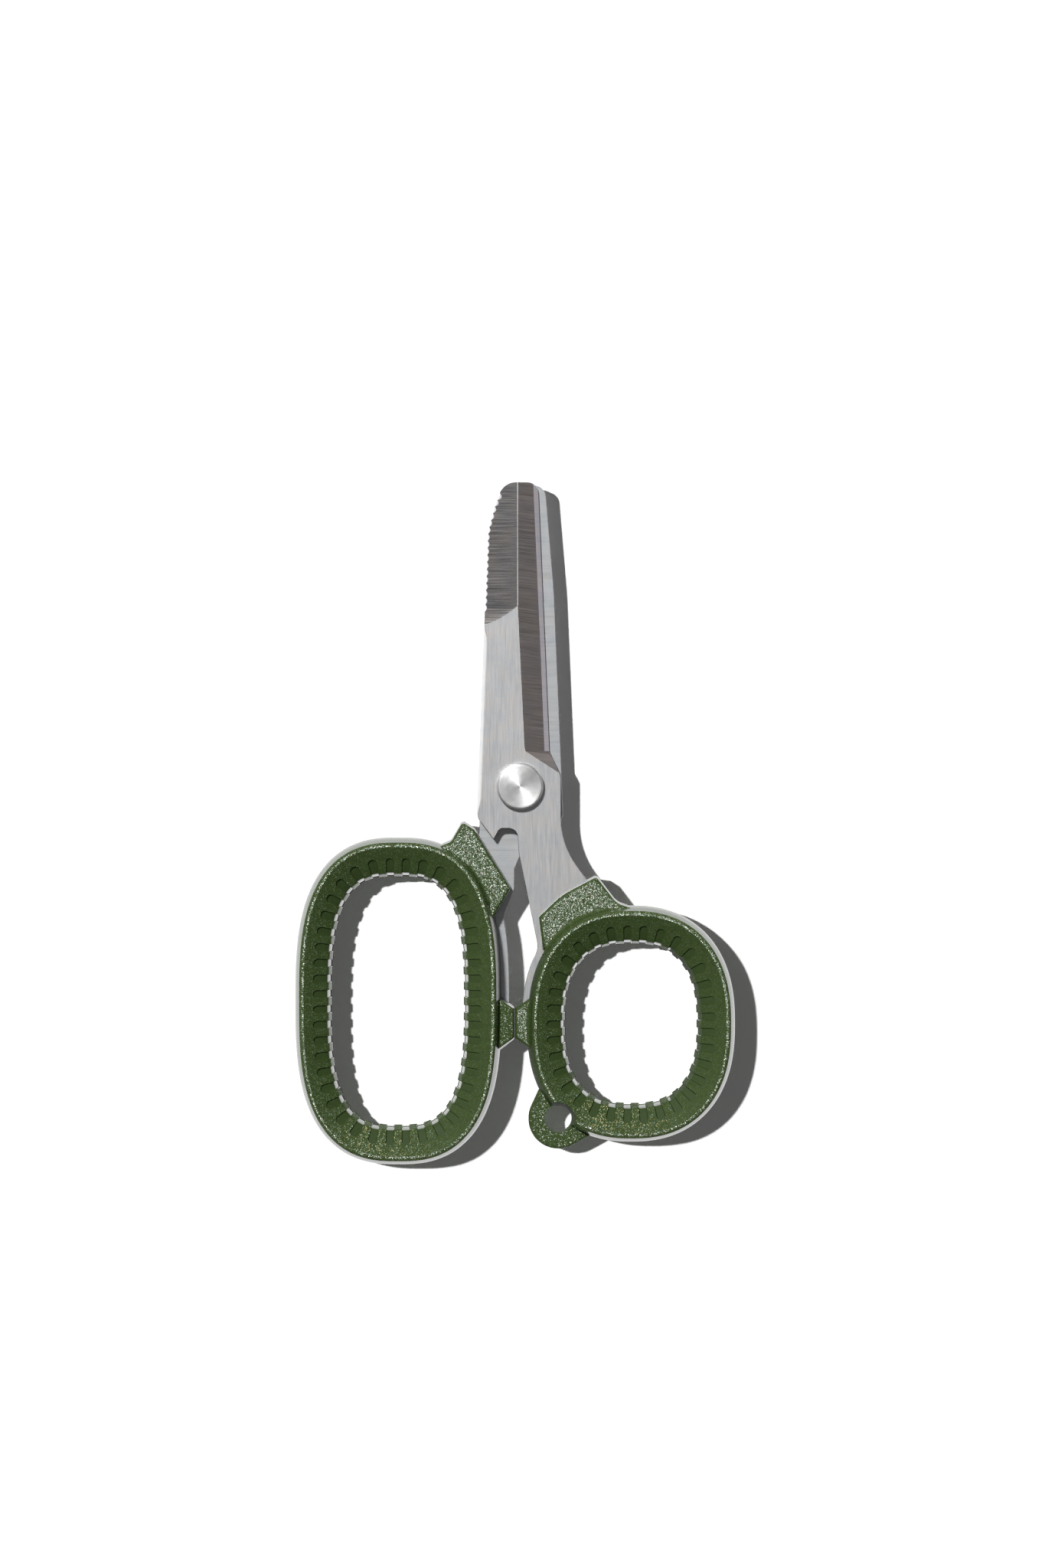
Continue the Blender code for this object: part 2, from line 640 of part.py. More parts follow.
def add_eyelet(handle, half):
    """Joins the lanyard tab to the thumb bow, bores it and flares the bore where it meets the ring."""
    centre = THUMB_BOW.at(EYELET_TURN, THUMB_BOW.band(EYELET_TURN) + EYELET_STANDOFF)
    rim = circle(centre, EYELET_HOLE_RADIUS + EYELET_RIM, HOLE_STEPS)
    necks = []
    for swing in (-1, 1):
        turn = EYELET_TURN + swing * EYELET_NECK_SPREAD
        necks.append(tuple(THUMB_BOW.at(turn, THUMB_BOW.band(turn) - EYELET_NECK_SINK)))
    reach = EYELET_THICKNESS / 2
    tab = hull([(x, y, z) for x, y in rim + necks for z in (-reach, reach)])
    combine(handle, add_object("eyelet_tab", tab, half), "UNION")
    hole = circle(centre, EYELET_HOLE_RADIUS, HOLE_STEPS)
    bore = plate(hole, -HANDLE_THICKNESS, HANDLE_THICKNESS)
    combine(handle, add_object("eyelet_bore", bore, half), "DIFFERENCE")
    lip = circle(centre, EYELET_HOLE_RADIUS + EYELET_LIP, HOLE_STEPS)
    for side in (-1, 1):
        low = [(x, y, side * reach) for x, y in hole]
        high = [(x, y, side * HANDLE_THICKNESS / 2) for x, y in lip]
        far = [(x, y, side * HANDLE_THICKNESS) for x, y in lip]
        combine(handle, add_object(f"eyelet_lip_{side}", hull(low + high + far), half), "DIFFERENCE")


def handle_piece(name, half, bow, collar, stop_face, outline, finish):
    """A moulded handle: grip ring, collar and stop, with the slot that its blade's tang fills."""
    item = add_object(name, grip_ring(bow), half, finish)
    add_block(item, name + "_collar", collar, COLLAR_THICKNESS, half)
    add_block(item, name + "_stop", stop_lug(bow, stop_face), STOP_THICKNESS, half)
    if bow is THUMB_BOW:
        add_eyelet(item, half)
    slot = plate(grown(outline, TANG_CLEARANCE), BLADE_FOOT - TANG_CLEARANCE, BLADE_TOP + TANG_CLEARANCE)
    combine(item, add_object(name + "_slot", slot, half), "DIFFERENCE")
    return item


def pivot_pieces(half):
    """Rivet, spring washer and cap along the pivot, and the glide washer between the blades.

    The finger half is turned over, so its +Z is the rear of the scissors.
    """
    bore = PIN_RADIUS + RUNNING_CLEARANCE
    head = BLADE_TOP + RUNNING_CLEARANCE
    washer = BLADE_TOP + RUNNING_CLEARANCE
    dished = washer + SPRING_WASHER_DISH
    cap = dished + SPRING_WASHER_THICKNESS + RUNNING_CLEARANCE
    tail = cap + CAP_HEIGHT - CAP_FLOOR - RUNNING_CLEARANCE
    rivet = turned([
        (0, -head - RIVET_HEAD_HEIGHT),
        (RIVET_HEAD_RADIUS - RIVET_CHAMFER, -head - RIVET_HEAD_HEIGHT),
        (RIVET_HEAD_RADIUS, -head - RIVET_HEAD_HEIGHT + RIVET_CHAMFER),
        (RIVET_HEAD_RADIUS, -head),
        (PIN_RADIUS, -head),
        (PIN_RADIUS, tail),
        (0, tail),
    ], False)
    add_object("pivot_rivet", rivet, half, material("rivet_steel", STEEL, 0.25, 1.0), True)
    spring = turned([
        (bore, dished),
        (SPRING_WASHER_RADIUS, washer),
        (SPRING_WASHER_RADIUS, washer + SPRING_WASHER_THICKNESS),
        (bore, dished + SPRING_WASHER_THICKNESS),
    ], True)
    add_object("tension_washer", spring, half, material("washer_steel", STEEL, 0.4, 1.0), True)
    closing = turned([
        (0, tail + RUNNING_CLEARANCE),
        (bore, tail + RUNNING_CLEARANCE),
        (bore, cap),
        (CAP_RADIUS, cap),
        (CAP_RADIUS, cap + CAP_HEIGHT - RIVET_CHAMFER),
        (CAP_RADIUS - RIVET_CHAMFER, cap + CAP_HEIGHT),
        (0, cap + CAP_HEIGHT),
    ], False)
    add_object("rivet_cap", closing, half, material("cap_steel", STEEL, 0.3, 1.0), True)
    glide = GLIDE_WASHER_THICKNESS / 2
    disc = turned([
        (bore, -glide),
        (GLIDE_WASHER_RADIUS, -glide),
        (GLIDE_WASHER_RADIUS, glide),
        (bore, glide),
    ], True)
    add_object("blade_washer", disc, half, material("glide_polymer", POLYMER, 0.6, 0.0), True)


def half_empty(name, turned_over):
    """The empty on the pivot axis that carries one half, with the part's box centred over the origin."""
    left = FINGER_CENTRE_OUT + FINGER_BOW.outer_half()[0]
    right = THUMB_CENTRE_OUT + THUMB_BOW.outer_half()[0]
    lowest = FINGER_CENTRE_DEPTH + FINGER_BOW.outer_half()[1]
    half = bpy.data.objects.new(name, None)
    bpy.context.collection.objects.link(half)
    half.location = ((left - right) / 2, (lowest - BLADE_REACH) / 2, HANDLE_THICKNESS / 2)
    half.rotation_euler = (0, math.pi if turned_over else 0, 0)
    return half


def main():
    """Builds both halves and the pivot."""
    for item in list(bpy.data.objects):
        bpy.data.objects.remove(item)
    thumb = half_empty("thumb_half", False)
    finger = half_empty("finger_half", True)

    front = front_outline()
    tip = BLADE_REACH
    serrated = scalloped(front, tip - SCALLOP_FIRST_DROP, tip - SCALLOP_LAST_DROP)
    blade("front_blade", thumb, serrated, {
        "cutting_bevel": cutting_bevel(tip),
        "honed_edge": honed_edge(tip),
        "spine_grind": spine_grind(tip),
    }, material("front_blade_steel", STEEL, 0.32, 1.0))
    handle_piece("thumb_handle", thumb, THUMB_BOW, thumb_collar(), STOP_PLANE_OUT + STOP_GAP / 2,
                 front, material("thumb_handle_plastic", GREEN, 0.45, 0.0))

    rear = rear_outline()
    tip = BLADE_REACH - REAR_TIP_SHORTFALL
    blade("rear_blade", finger, rear, {
        "cutting_bevel": cutting_bevel(tip),
        "honed_edge": honed_edge(tip),
    }, material("rear_blade_steel", STEEL, 0.32, 1.0))
    handle_piece("finger_handle", finger, FINGER_BOW, finger_collar(), STOP_GAP / 2 - STOP_PLANE_OUT,
                 rear, material("finger_handle_plastic", GREEN, 0.45, 0.0))

    pivot_pieces(finger)


main()
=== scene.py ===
"""Compact craft scissors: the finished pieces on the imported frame, and the studio they are seen in."""

import math

import bmesh
import bpy
import numpy as np
from bpy.props import FloatProperty, FloatVectorProperty, PointerProperty
from mathutils import Matrix, Vector


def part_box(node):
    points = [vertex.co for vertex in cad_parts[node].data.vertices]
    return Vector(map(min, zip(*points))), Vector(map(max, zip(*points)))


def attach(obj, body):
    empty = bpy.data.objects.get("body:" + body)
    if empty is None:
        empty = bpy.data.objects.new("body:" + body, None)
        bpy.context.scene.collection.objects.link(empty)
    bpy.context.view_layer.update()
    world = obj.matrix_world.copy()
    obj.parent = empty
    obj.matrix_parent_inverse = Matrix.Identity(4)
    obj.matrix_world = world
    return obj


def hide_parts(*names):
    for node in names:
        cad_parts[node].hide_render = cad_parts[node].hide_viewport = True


bl_info = {
    "name": "Compact craft scissors",
    "version": (1, 0, 0),
    "blender": (4, 5, 0),
    "location": "3D View > Sidebar > Scissors",
    "description": "Builds a pair of compact craft scissors on its packed frame",
    "category": "Add Mesh",
}

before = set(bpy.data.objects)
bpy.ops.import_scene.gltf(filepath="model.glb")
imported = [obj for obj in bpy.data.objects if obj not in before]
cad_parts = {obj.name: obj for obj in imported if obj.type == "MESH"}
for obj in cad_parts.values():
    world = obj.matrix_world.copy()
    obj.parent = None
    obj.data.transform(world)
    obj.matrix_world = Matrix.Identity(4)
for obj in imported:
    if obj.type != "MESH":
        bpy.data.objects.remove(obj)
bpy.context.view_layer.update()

MM = 0.001
RIVET_LOW, RIVET_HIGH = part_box("pivot_rivet")
RING_LOW, RING_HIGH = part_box("thumb_handle")
PIVOT = Vector((
    (RIVET_LOW.x + RIVET_HIGH.x) / 2,
    (RIVET_LOW.y + RIVET_HIGH.y) / 2,
    (RING_LOW.z + RING_HIGH.z) / 2,
))
THUMB_HALF = Matrix.Translation(PIVOT)
FINGER_HALF = THUMB_HALF @ Matrix.Rotation(math.pi, 4, "Y")

# Steps of drawing
ARC_STEP = math.radians(5)
CURVE_SAMPLES = 1441
TURNED_STEPS = 120
HOLE_STEPS = 64
FLOOR_STEPS = 96
SIDE_STEP = 0.0010
SCALLOP_STEPS = 12
ROUND_STEPS = 6
SPINE_STEPS = 12
RUNOUT_STEPS = 8
GRIND_STEPS = 16
TANG_OUTER_STEPS = 13
TANG_INNER_STEPS = 8
COLLAR_STEPS = 16
VALLEY_STEPS = 48
CHAMFER_SWINGS = np.radians((0, 12, 45, 78, 90))
CREST_SWINGS = np.radians((90, 75, 60, 45, 30, 16, 4))
SAME_POINT = 1e-8
NEARLY_NONE = 1e-12

# Rows and columns of a grip ring's net, as shares of the face they lie on
NOTCH_ROWS = (0.4, 0.75)
FACE_ROWS = (0.35, 0.7, 1.0)
WALL_ROWS = (0.78, 0.55, 0.3, 0.0)
NOTCH_COLUMNS = (0.35, 0.68, 0.88)
WALL_BULGE = 1.7

# Sharp edges, and the normals that tell the faces of a piece apart
SMOOTH_ANGLE = math.radians(21)
GROUND_ANGLE = math.radians(9)
INNER_FACING = -0.9
GRIND_LEAN = (-0.5, -0.05)
GRIND_FACING = 0.6
SPINE_LEAN = -0.3
SPINE_FACING = 0.2
SIDE_FACING = 0.3
LEVEL_FACING = 0.998
HONED_LEAN = 0.45
BEVEL_LEAN = 0.02
WALL_NORMAL = 0.32
FLAT_NORMAL = 0.995
# Thumb bow walls that face the pivot below this depth take the darker matt finish: painted shade
PAINTED_SHADE_NORMAL = -0.5
PAINTED_SHADE_FROM = 0.0235

# Places of the finishes in the lists that the operators make
FACE, BEVEL, HONED, GRIND, INNER, SPINE = range(6)
RING, OUTER_WALL, HOLE_WALL, NOTCH_WALL, NOTCH_FLOOR_AND_PAINTED_SHADE, FLAT, CREST = range(7)

# Margins, in metres
CUT_MARGIN = 0.0010
RIM_BAND = 0.0001
NOTCH_MARGIN = 0.00012
STOP_CORNER = 0.0006
NECK_ROOT = 0.0010

# Where the front blade's spine is rounded, and how fast the round fades, in metres from the pivot
SPINE_START, SPINE_START_FADE = -0.0048, 0.003
SPINE_END, SPINE_END_FADE = 0.0237, 0.002
SPINE_OUT, SPINE_OUT_FADE = 0.0035, 0.001

# Tangs: radius of the bend, and depths where the strip starts to show and the buried side ends
TANG_BEND = 0.0060
THUMB_TANG_DEPTHS = (0.0240, 0.0240)
FINGER_TANG_DEPTHS = (0.0192, 0.0180)

# Finishes: the span that noise fills, warm and cool casts on steel, and the direction of its grain
NOISE_SPAN = (0.3, 0.7)
STEEL_CAST = ((0.35, (0.90, 0.92, 0.94)), (0.5, (0.96, 0.96, 0.96)), (0.65, (1.0, 0.97, 0.94)))
SCRATCH_DEPTH = 0.00002
ALONG = (12000.0, 260.0, 260.0)
ACROSS = (150.0, 12000.0, 150.0)
QUARTER_TURN = 0.25
PLASTIC_INDEX = 1.33

# The sky from the horizon up, and the dark studio that lights matt faces
SKY = ((0.0, (0.85, 0.85, 0.86)), (0.26, (0.42, 0.42, 0.43)), (0.42, (0.06, 0.06, 0.06)))
DARK_STUDIO = (0.02, 0.02, 0.02)
CLIP_RATIO = 100

# Outlines, in millimetres from the pivot, with the tip up and the cutting edge to the right.
# Each corner is (x, y, radius of its round).
SHANK_AND_EDGE = (
    (6.0, -8.6, 20.0),
    (6.0, 1.5, 1.0),
    (4.33, 5.2, 1.0),
)
FRONT_TIP = (
    (2.65, 45.0, 1.6),
    (-2.35, 45.0, 2.6),
    (-3.75, 41.6, 6.0),
    (-4.75, 37.9, 10.0),
)
REAR_TIP = (
    (2.65, 44.6, 2.5),
    (-3.7, 44.6, 1.8),
    (-5.0, 29.0, 40.0),
)
BOSS_AND_NOTCH = (
    (-6.4, -4.5, 2.0),
    (-3.9, -7.8, 0.1),
    (-3.0, -6.2, 0.8),
    (-0.4, -6.2, 1.4),
    (-0.2, -9.7, 1.0),
)
REAR_WAIST = (
    (0.85, -12.3, 1.0),
    (0.85, -15.2, 1.0),
)
FRONT_SHOULDER = (
    (10.8, -18.5, 1.0),
    (10.8, -15.1, 0.0),
)
REAR_SHOULDER = ((9.5, -13.5, 1.0),)
THUMB_COLLAR_TOE = ((2.8, -19.3, 0.5), (3.4, -24.0, 0.0))
THUMB_COLLAR_TOP = ((16.5, -18.0, 0.0), (14.3, -17.3, 3.0), (11.3, -13.4, 0.5), (6.2, -16.0, 12.0))
THUMB_COLLAR_TURNS = (138, 92)
THUMB_VALLEY_TURNS = (146, 96)
FINGER_COLLAR_TOE = ((1.4, -15.1, 0.5), (3.4, -18.4, 0.0))
FINGER_COLLAR_TOP = ((12.5, -9.1, 0.0), (10.2, -8.2, 1.2), (8.5, -5.3, 0.5), (6.8, -6.4, 0.6))
FINGER_COLLAR_TURNS = (162, 108)
FINGER_VALLEY_TURNS = (148, 122)
VALLEY_ENDS = (0.02, 0.98)
VALLEY_FADE = 8


def size(note, default, least=0.0):
    """A length the maker can change."""
    return FloatProperty(description=note, default=default, min=least, precision=5, unit="LENGTH",
                         subtype="DISTANCE")


def angle(note, degrees):
    """An angle the maker can change."""
    return FloatProperty(description=note, default=math.radians(degrees), unit="ROTATION", subtype="ANGLE")


def share(note, default):
    """A plain number from nothing to one."""
    return FloatProperty(description=note, default=default, min=0.0, max=1.0)


def level(note, default):
    """A strength of light."""
    return FloatProperty(description=note, default=default, min=0.0)


def colour(note, default):
    """A colour the maker can change."""
    return FloatVectorProperty(description=note, default=default, min=0.0, max=1.0, size=3, subtype="COLOR")


class BladeSettings(bpy.types.PropertyGroup):
    """Sizes and finish of both blades."""

    thickness: size("Thickness of the stamped plate", 0.0015)
    gap: size("Distance between the two blades", 0.0003)
    break_edge: size("Chamfer round the plate's rims", 0.00007)
    spine_round: size("Radius of the rounded spine of the front blade", 0.0023)
    spine_face: angle("Slope of the rounded spine where it meets the face", 38)
    spine_side: angle("Slope of the rounded spine where it meets the side", 64)
    ridge_out: size("Distance of the ridge from the pivot line", 0.00034)
    ridge_flat: size("How far the ridge is worn down", 0.000018)
    bevel_tip: size("How far past the pivot line the bevel starts at the tip", 0.0012)
    bevel_heel: size("How far out the bevel starts at the heel", 0.00067)
    bevel_edge: size("Plate left under the main bevel at the edge", 0.00045)
    bevel_turn: size("How far out the bevel turns into its run-out", 0.0008)
    bevel_heel_height: size("Height where the bevel's top line ends", 0.0058)
    runout_foot: size("Height of the run-out's lower end", 0.0022)
    honed_width: size("Width of the honed face", 0.0007)
    honed_edge: size("Plate left at the cutting edge", 0.00012)
    grind_length: size("Length of the ground face beside the scallops", 0.0183)
    grind_radius: size("Radius of the grind's end", 0.0135)
    grind_wall: size("Run of the wall at the grind's end", 0.00012)
    grind_runout: size("Run over which the grind's floor curves up", 0.0034)
    grind_curve: share("Share of the depth by which the floor curves up", 0.08)
    grind_edge: size("Plate left under the spine grind", 0.00045)
    grind_slope: angle("Slope of the grind's end at the ridge", 42)
    grind_sweep: angle("Sweep of the grind's end", 34)
    scallop_pitch: size("Distance between scallops", 0.00103)
    scallop_depth: size("Depth of a scallop", 0.00014)
    scallop_lean: share("How far a scallop leans inwards as it rises", 0.6)
    scallop_first: size("Distance of the first scallop from the tip", 0.0016)
    scallop_last: size("Distance of the last scallop from the tip", 0.0191)
    face: colour("Polished faces", (0.535, 0.535, 0.54))
    inside: colour("Inner faces, which slide on each other", (0.41, 0.42, 0.43))
    # Much lighter than the faces of the same steel: a painted sheen along the rounded spine and the scallops
    spine: colour("Rounded spine and scallops", (0.92, 0.92, 0.92))
    bevel: colour("Main bevel", (0.52, 0.47, 0.455))
    grind: colour("Spine grind", (0.45, 0.430, 0.424))
    # Lighter and lilac against the faces of the same steel: a painted reflection on the narrow honed face
    honed: colour("Honed edge", (0.80, 0.76, 0.81))
    face_roughness: share("Roughness of the faces", 0.50)
    grind_roughness: share("Roughness of the ground faces", 0.22)


class HandleSettings(bpy.types.PropertyGroup):
    """Sizes and finish of both moulded handles."""

    thickness: size("Thickness over the crests", RING_HIGH.z - RING_LOW.z)
    inner_edge: size("Thickness at the hole's edge", 0.0052)
    inner_draft: size("How far the hole's wall leans in", 0.0005)
    outer_draft: size("How far the outer wall leans out", 0.0007)
    crest_round: size("Round of the crest's outer edge", 0.0004)
    crest_land: size("Flat top of the crest", 0.0003)
    edge_round: size("Round of the hole's edge", 0.00014)
    parting_bead: size("Bead left by the mould's parting line", 0.00005)
    grip_pitch: size("Distance between grip notches", 0.00227)
    grip_width: size("Width of a grip notch", 0.00103)
    grip_length: size("Length of a grip notch", 0.00250)
    grip_depth: size("Depth of a grip notch", 0.00021)
    grip_run: size("Run of a notch's walls", 0.00012)
    collar_cover: size("Plastic over the blade in the collar", 0.0012)
    collar_round: size("Round of the collar's rims", 0.00036)
    collar_draft: size("How far the walls of collars and stops lean out", 0.0003)
    valley: size("Fillet where the ring rises from collar and stop", 0.0004)
    tang_wall: size("Plastic between a tang and the hole", 0.0019)
    finger_tang: size("Strip of tang left showing beside the finger bow", 0.0012)
    thumb_tang: size("Strip of tang left showing beside the thumb bow", 0.00075)
    stop_depth: size("Distance of the stops below the pivot", 0.0329)
    stop_offset: size("Distance of the stops' parting from the pivot line", 0.00079)
    stop_gap: size("Gap between the closed stops", 0.0002)
    stop_face: size("Length of a stop's face", 0.0043)
    stop_thickness: size("Thickness of a stop", 0.0052)
    stop_slope: share("Flare of a stop towards its ring", 0.7)
    eyelet_turn: angle("Place of the eyelet round the thumb bow", 231)
    eyelet_standoff: size("Distance of the eyelet's bore from the ring", 0.00025)
    eyelet_bore: size("Radius of the eyelet's bore", 0.0020)
    eyelet_rim: size("Plastic round the bore", 0.0024)
    eyelet_thickness: size("Thickness of the eyelet's tab", 0.0036)
    eyelet_lip: size("Flare of the bore where it meets the ring", 0.0007)
    eyelet_neck: angle("Spread of the tab's neck along the ring", 22)
    body: colour("Dark green of the plastic", (0.041, 0.071, 0.017))
    gold: colour("Warm flakes", (1.0, 0.88, 0.48))
    teal: colour("Cool flakes", (0.72, 1.0, 0.86))
    pale: colour("White flakes", (1.0, 1.0, 0.95))
    roughness: share("Roughness of the pebbled faces", 0.68)
    flake_roughness: share("Roughness of a flake", 0.42)
    wall_roughness: share("Roughness of the polished walls", 0.22)
    ring_flakes: share("Share of the rings' faces that is flakes", 0.32)
    flat_flakes: share("Share of the flat faces that is flakes", 0.85)
    crest_flakes: share("Share of the rings' crests that is flakes", 0.6)
    flake_size: size("Size of a flake", 0.00010)


class PivotSettings(bpy.types.PropertyGroup):
    """Sizes and finish of the rivet, its cap and the washers."""

    pin_radius: size("Radius of the rivet's pin", 0.0018)
    clearance: size("Running clearance", 0.00005)
    head_radius: size("Radius of the rivet's head", 0.00345)
    head_height: size("Height of the rivet's head", 0.0011)
    chamfer: size("Chamfer of the head and the cap", 0.00035)
    ring_pitch: size("Pitch of the turning marks on the head", 0.00028)
    ring_depth: size("Depth of the turning marks", 0.000006)
    cap_radius: size("Radius of the cap", 0.0029)
    cap_height: size("Height of the cap", 0.0010)
    cap_floor: size("Thickness of the cap's closed end", 0.0005)
    washer_thickness: size("Thickness of the spring washer", 0.0003)
    washer_dish: size("Dish of the spring washer", 0.00015)
    steel: colour("Turned steel", (0.82, 0.815, 0.81))
    spring: colour("Spring washer", (0.42, 0.41, 0.40))
    polymer: colour("Glide washer", (0.74, 0.73, 0.69))
    roughness: share("Roughness of the turned face", 0.40)


class StageSettings(bpy.types.PropertyGroup):
    """The studio: floor, lamps, sky and camera."""

    distance: size("Height of the camera over the middle of the part", 0.80)
    view_height: size("Height of the frame at the middle of the part", 0.2324)
    aim_x: size("Where the camera looks, across", 0.00109, -1.0)
    aim_y: size("Where the camera looks, along", 0.00585, -1.0)
    floor_radius: size("Radius of the floor", 12.0)
    floor: colour("Floor", (0.92, 0.92, 0.92))
    floor_shade: level("Brightness of the floor where it lies in shadow", 0.075)
    key_level: level("Strength of the lamp on the part", 3.1)
    key_azimuth: angle("Direction the key comes from, from right to left over the tip", 123)
    key_height: angle("Height of the key over the floor", 58)
    key_angle: angle("Apparent size of the key", 6)
    floor_level: level("Strength of the lamp on the floor", 3.8)
    floor_azimuth: angle("Direction the floor lamp comes from", 159)
    floor_height: angle("Height of the floor lamp", 62.5)
    floor_angle: angle("Apparent size of the floor lamp", 2)
    box_level: level("Brightness of the soft box over the part", 0.31)
    box_size: size("Width of the soft box", 0.62)
    box_height: size("Height of the soft box", 1.2)


class ScissorsSettings(bpy.types.PropertyGroup):
    """Everything that can be changed."""

    blades: PointerProperty(type=BladeSettings)
    handles: PointerProperty(type=HandleSettings)
    pivot: PointerProperty(type=PivotSettings)
    stage: PointerProperty(type=StageSettings)


def in_metres(corners):
    """Corners given in millimetres."""
    return [tuple(value * MM for value in corner) for corner in corners]


def rounded(corners):
    """Closed outline through corners given as (x, y, radius), each radius limited by its two sides."""
    points = []
    for index, (x, y, radius) in enumerate(corners):
        here = np.array((x, y))
        before = np.array(corners[index - 1][:2]) - here
        after = np.array(corners[(index + 1) % len(corners)][:2]) - here
        sides = np.linalg.norm(before), np.linalg.norm(after)
        before = before / sides[0]
        after = after / sides[1]
        turn = math.pi - math.acos(max(-1.0, min(1.0, float(before @ after))))
        if radius == 0 or turn < ARC_STEP / 4:
            points.append((x, y))
            continue
        tangent = min(radius * math.tan(turn / 2), min(sides) / 2)
        radius = tangent / math.tan(turn / 2)
        middle = before + after
        centre = here + middle / np.linalg.norm(middle) * radius / math.cos(turn / 2)
        start = here + before * tangent - centre
        side = 1 if before[0] * after[1] - before[1] * after[0] < 0 else -1
        steps = max(1, math.ceil(turn / ARC_STEP))
        for step in range(steps + 1):
            swing = side * turn * step / steps
            cosine, sine = math.cos(swing), math.sin(swing)
            points.append((
                centre[0] + start[0] * cosine - start[1] * sine,
                centre[1] + start[0] * sine + start[1] * cosine,
            ))
    return np.array(points)


def divided(points):
    """A closed outline with its long straight sides split into short ones."""
    result = []
    for here, after in zip(points, np.roll(points, -1, axis=0)):
        parts = max(1, round(float(np.linalg.norm(after - here)) / SIDE_STEP))
        for part in range(parts):
            result.append(here + (after - here) * part / parts)
    return np.array(result)


def outward(points):
    """Outward normals of a counter-clockwise outline, lengthened at corners so that insets stay even."""
    along = np.roll(points, -1, axis=0) - points
    along /= np.linalg.norm(along, axis=1)[:, None]
    behind = np.roll(along, 1, axis=0)
    normals = np.stack((along[:, 1] + behind[:, 1], -along[:, 0] - behind[:, 0]), axis=1)
    normals /= np.linalg.norm(normals, axis=1)[:, None]
    lean = np.maximum(0.5, normals[:, 0] * along[:, 1] - normals[:, 1] * along[:, 0])
    return normals / lean[:, None]


def stacked(layers):
    """A closed solid through outlines of equal count, each an array of points from the lowest up."""
    shape = bmesh.new()
    loops = [[shape.verts.new(point) for point in layer] for layer in layers]
    shape.faces.new(loops[0][::-1])
    shape.faces.new(loops[-1])
    for below, above in zip(loops, loops[1:]):
        for index in range(len(below)):
            shape.faces.new((below[index - 1], below[index], above[index], above[index - 1]))
    return shape


def at_height(points, height):
    """Flat points lifted to a height, one for all or one each."""
    lifted = np.empty((len(points), 3))
    lifted[:, :2] = points
    lifted[:, 2] = height
    return lifted


def slab(points, reach, rim, draft=0.0):
    """A flat block from -reach to reach with rounded rims, a level band inside them and drafted walls.

    The walls lean out most where they face along the part, and not at all where they face across it.
    """
    normals = outward(points)
    upper = []
    for swing in np.linspace(0, math.pi / 2, ROUND_STEPS + 1):
        upper.append((rim * (1 - math.cos(swing)), reach - rim * (1 - math.sin(swing))))
    upper.append((rim + RIM_BAND, reach))
    lower = [(inset, -height) for inset, height in reversed(upper)]
    layers = [at_height(points - normals * inset, height) for inset, height in lower + upper]
    middle = points + normals * draft * np.abs(normals[:, 1:])
    layers.insert(len(lower), at_height(middle, 0.0))
    return stacked(layers)


def prism(points, low, high):
    """A plain cutter of one outline."""
    return stacked([at_height(points, low), at_height(points, high)])


def hull(points):
    """The convex solid round a set of points."""
    shape = bmesh.new()
    for point in points:
        shape.verts.new(point)
    made = bmesh.ops.convex_hull(shape, input=shape.verts)
    spare = [item for item in made["geom_interior"] if isinstance(item, bmesh.types.BMVert)]
    bmesh.ops.delete(shape, geom=spare, context="VERTS")
    return shape


def turned(profile):
    """A piece turned about Z from a profile of (radius, height) that starts and ends on the axis."""
    shape = bmesh.new()
    verts = [shape.verts.new((radius, 0, height)) for radius, height in profile]
    edges = [shape.edges.new(pair) for pair in zip(verts, verts[1:])]
    bmesh.ops.spin(shape, geom=verts + edges, cent=(0, 0, 0), axis=(0, 0, 1), dvec=(0, 0, 0),
                   angle=2 * math.pi, steps=TURNED_STEPS, use_merge=True)
    bmesh.ops.remove_doubles(shape, verts=shape.verts, dist=SAME_POINT)
    return shape


def circle(centre, radius, steps):
    """Points round a circle."""
    turns = np.linspace(0, 2 * math.pi, steps, endpoint=False)
    return np.stack((centre[0] + radius * np.cos(turns), centre[1] + radius * np.sin(turns)), axis=1)


def swept(sections):
    """A closed band through closed sections, each a list of points, joined end to end."""
    shape = bmesh.new()
    columns = [[shape.verts.new(point) for point in section] for section in sections]
    for index, column in enumerate(columns):
        behind = columns[index - 1]
        for row in range(len(column)):
            shape.faces.new((behind[row - 1], behind[row], column[row], column[row - 1]))
    return shape


def add_piece(name, shape, half):
    """Turns a bmesh drawn in one half's frame into an object in the row frame."""
    bmesh.ops.recalc_face_normals(shape, faces=shape.faces)
    mesh = bpy.data.meshes.new(name)
    shape.to_mesh(mesh)
    shape.free()
    mesh.transform(half)
    item = bpy.data.objects.new(name, mesh)
    bpy.context.collection.objects.link(item)
    return item


def combine(target, other, operation):
    """Adds another object to the target or cuts it out, and removes that other object."""
    boolean = target.modifiers.new(other.name, "BOOLEAN")
    boolean.object = other
    boolean.operation = operation
    boolean.solver = "MANIFOLD"
    settle(target)
    spent = other.data
    bpy.data.objects.remove(other)
    bpy.data.meshes.remove(spent)


def settle(item):
    """Gives an object the mesh that its modifiers make."""
    graph = bpy.context.evaluated_depsgraph_get()
    mesh = bpy.data.meshes.new_from_object(item.evaluated_get(graph))
    item.modifiers.clear()
    spent = item.data
    item.data = mesh
    name = spent.name
    bpy.data.meshes.remove(spent)
    mesh.name = name


def finish(item, materials, sharp=SMOOTH_ANGLE):
    """Gives an object its materials and shades it smooth between its sharp edges, flat faces kept flat."""
    item.data.materials.clear()
    for material in materials:
        item.data.materials.append(material)
    item.data.shade_smooth()
    item.data.set_sharp_from_angle(angle=sharp)
    weighted = item.modifiers.new("flat faces", "WEIGHTED_NORMAL")
    weighted.keep_sharp = True
    settle(item)


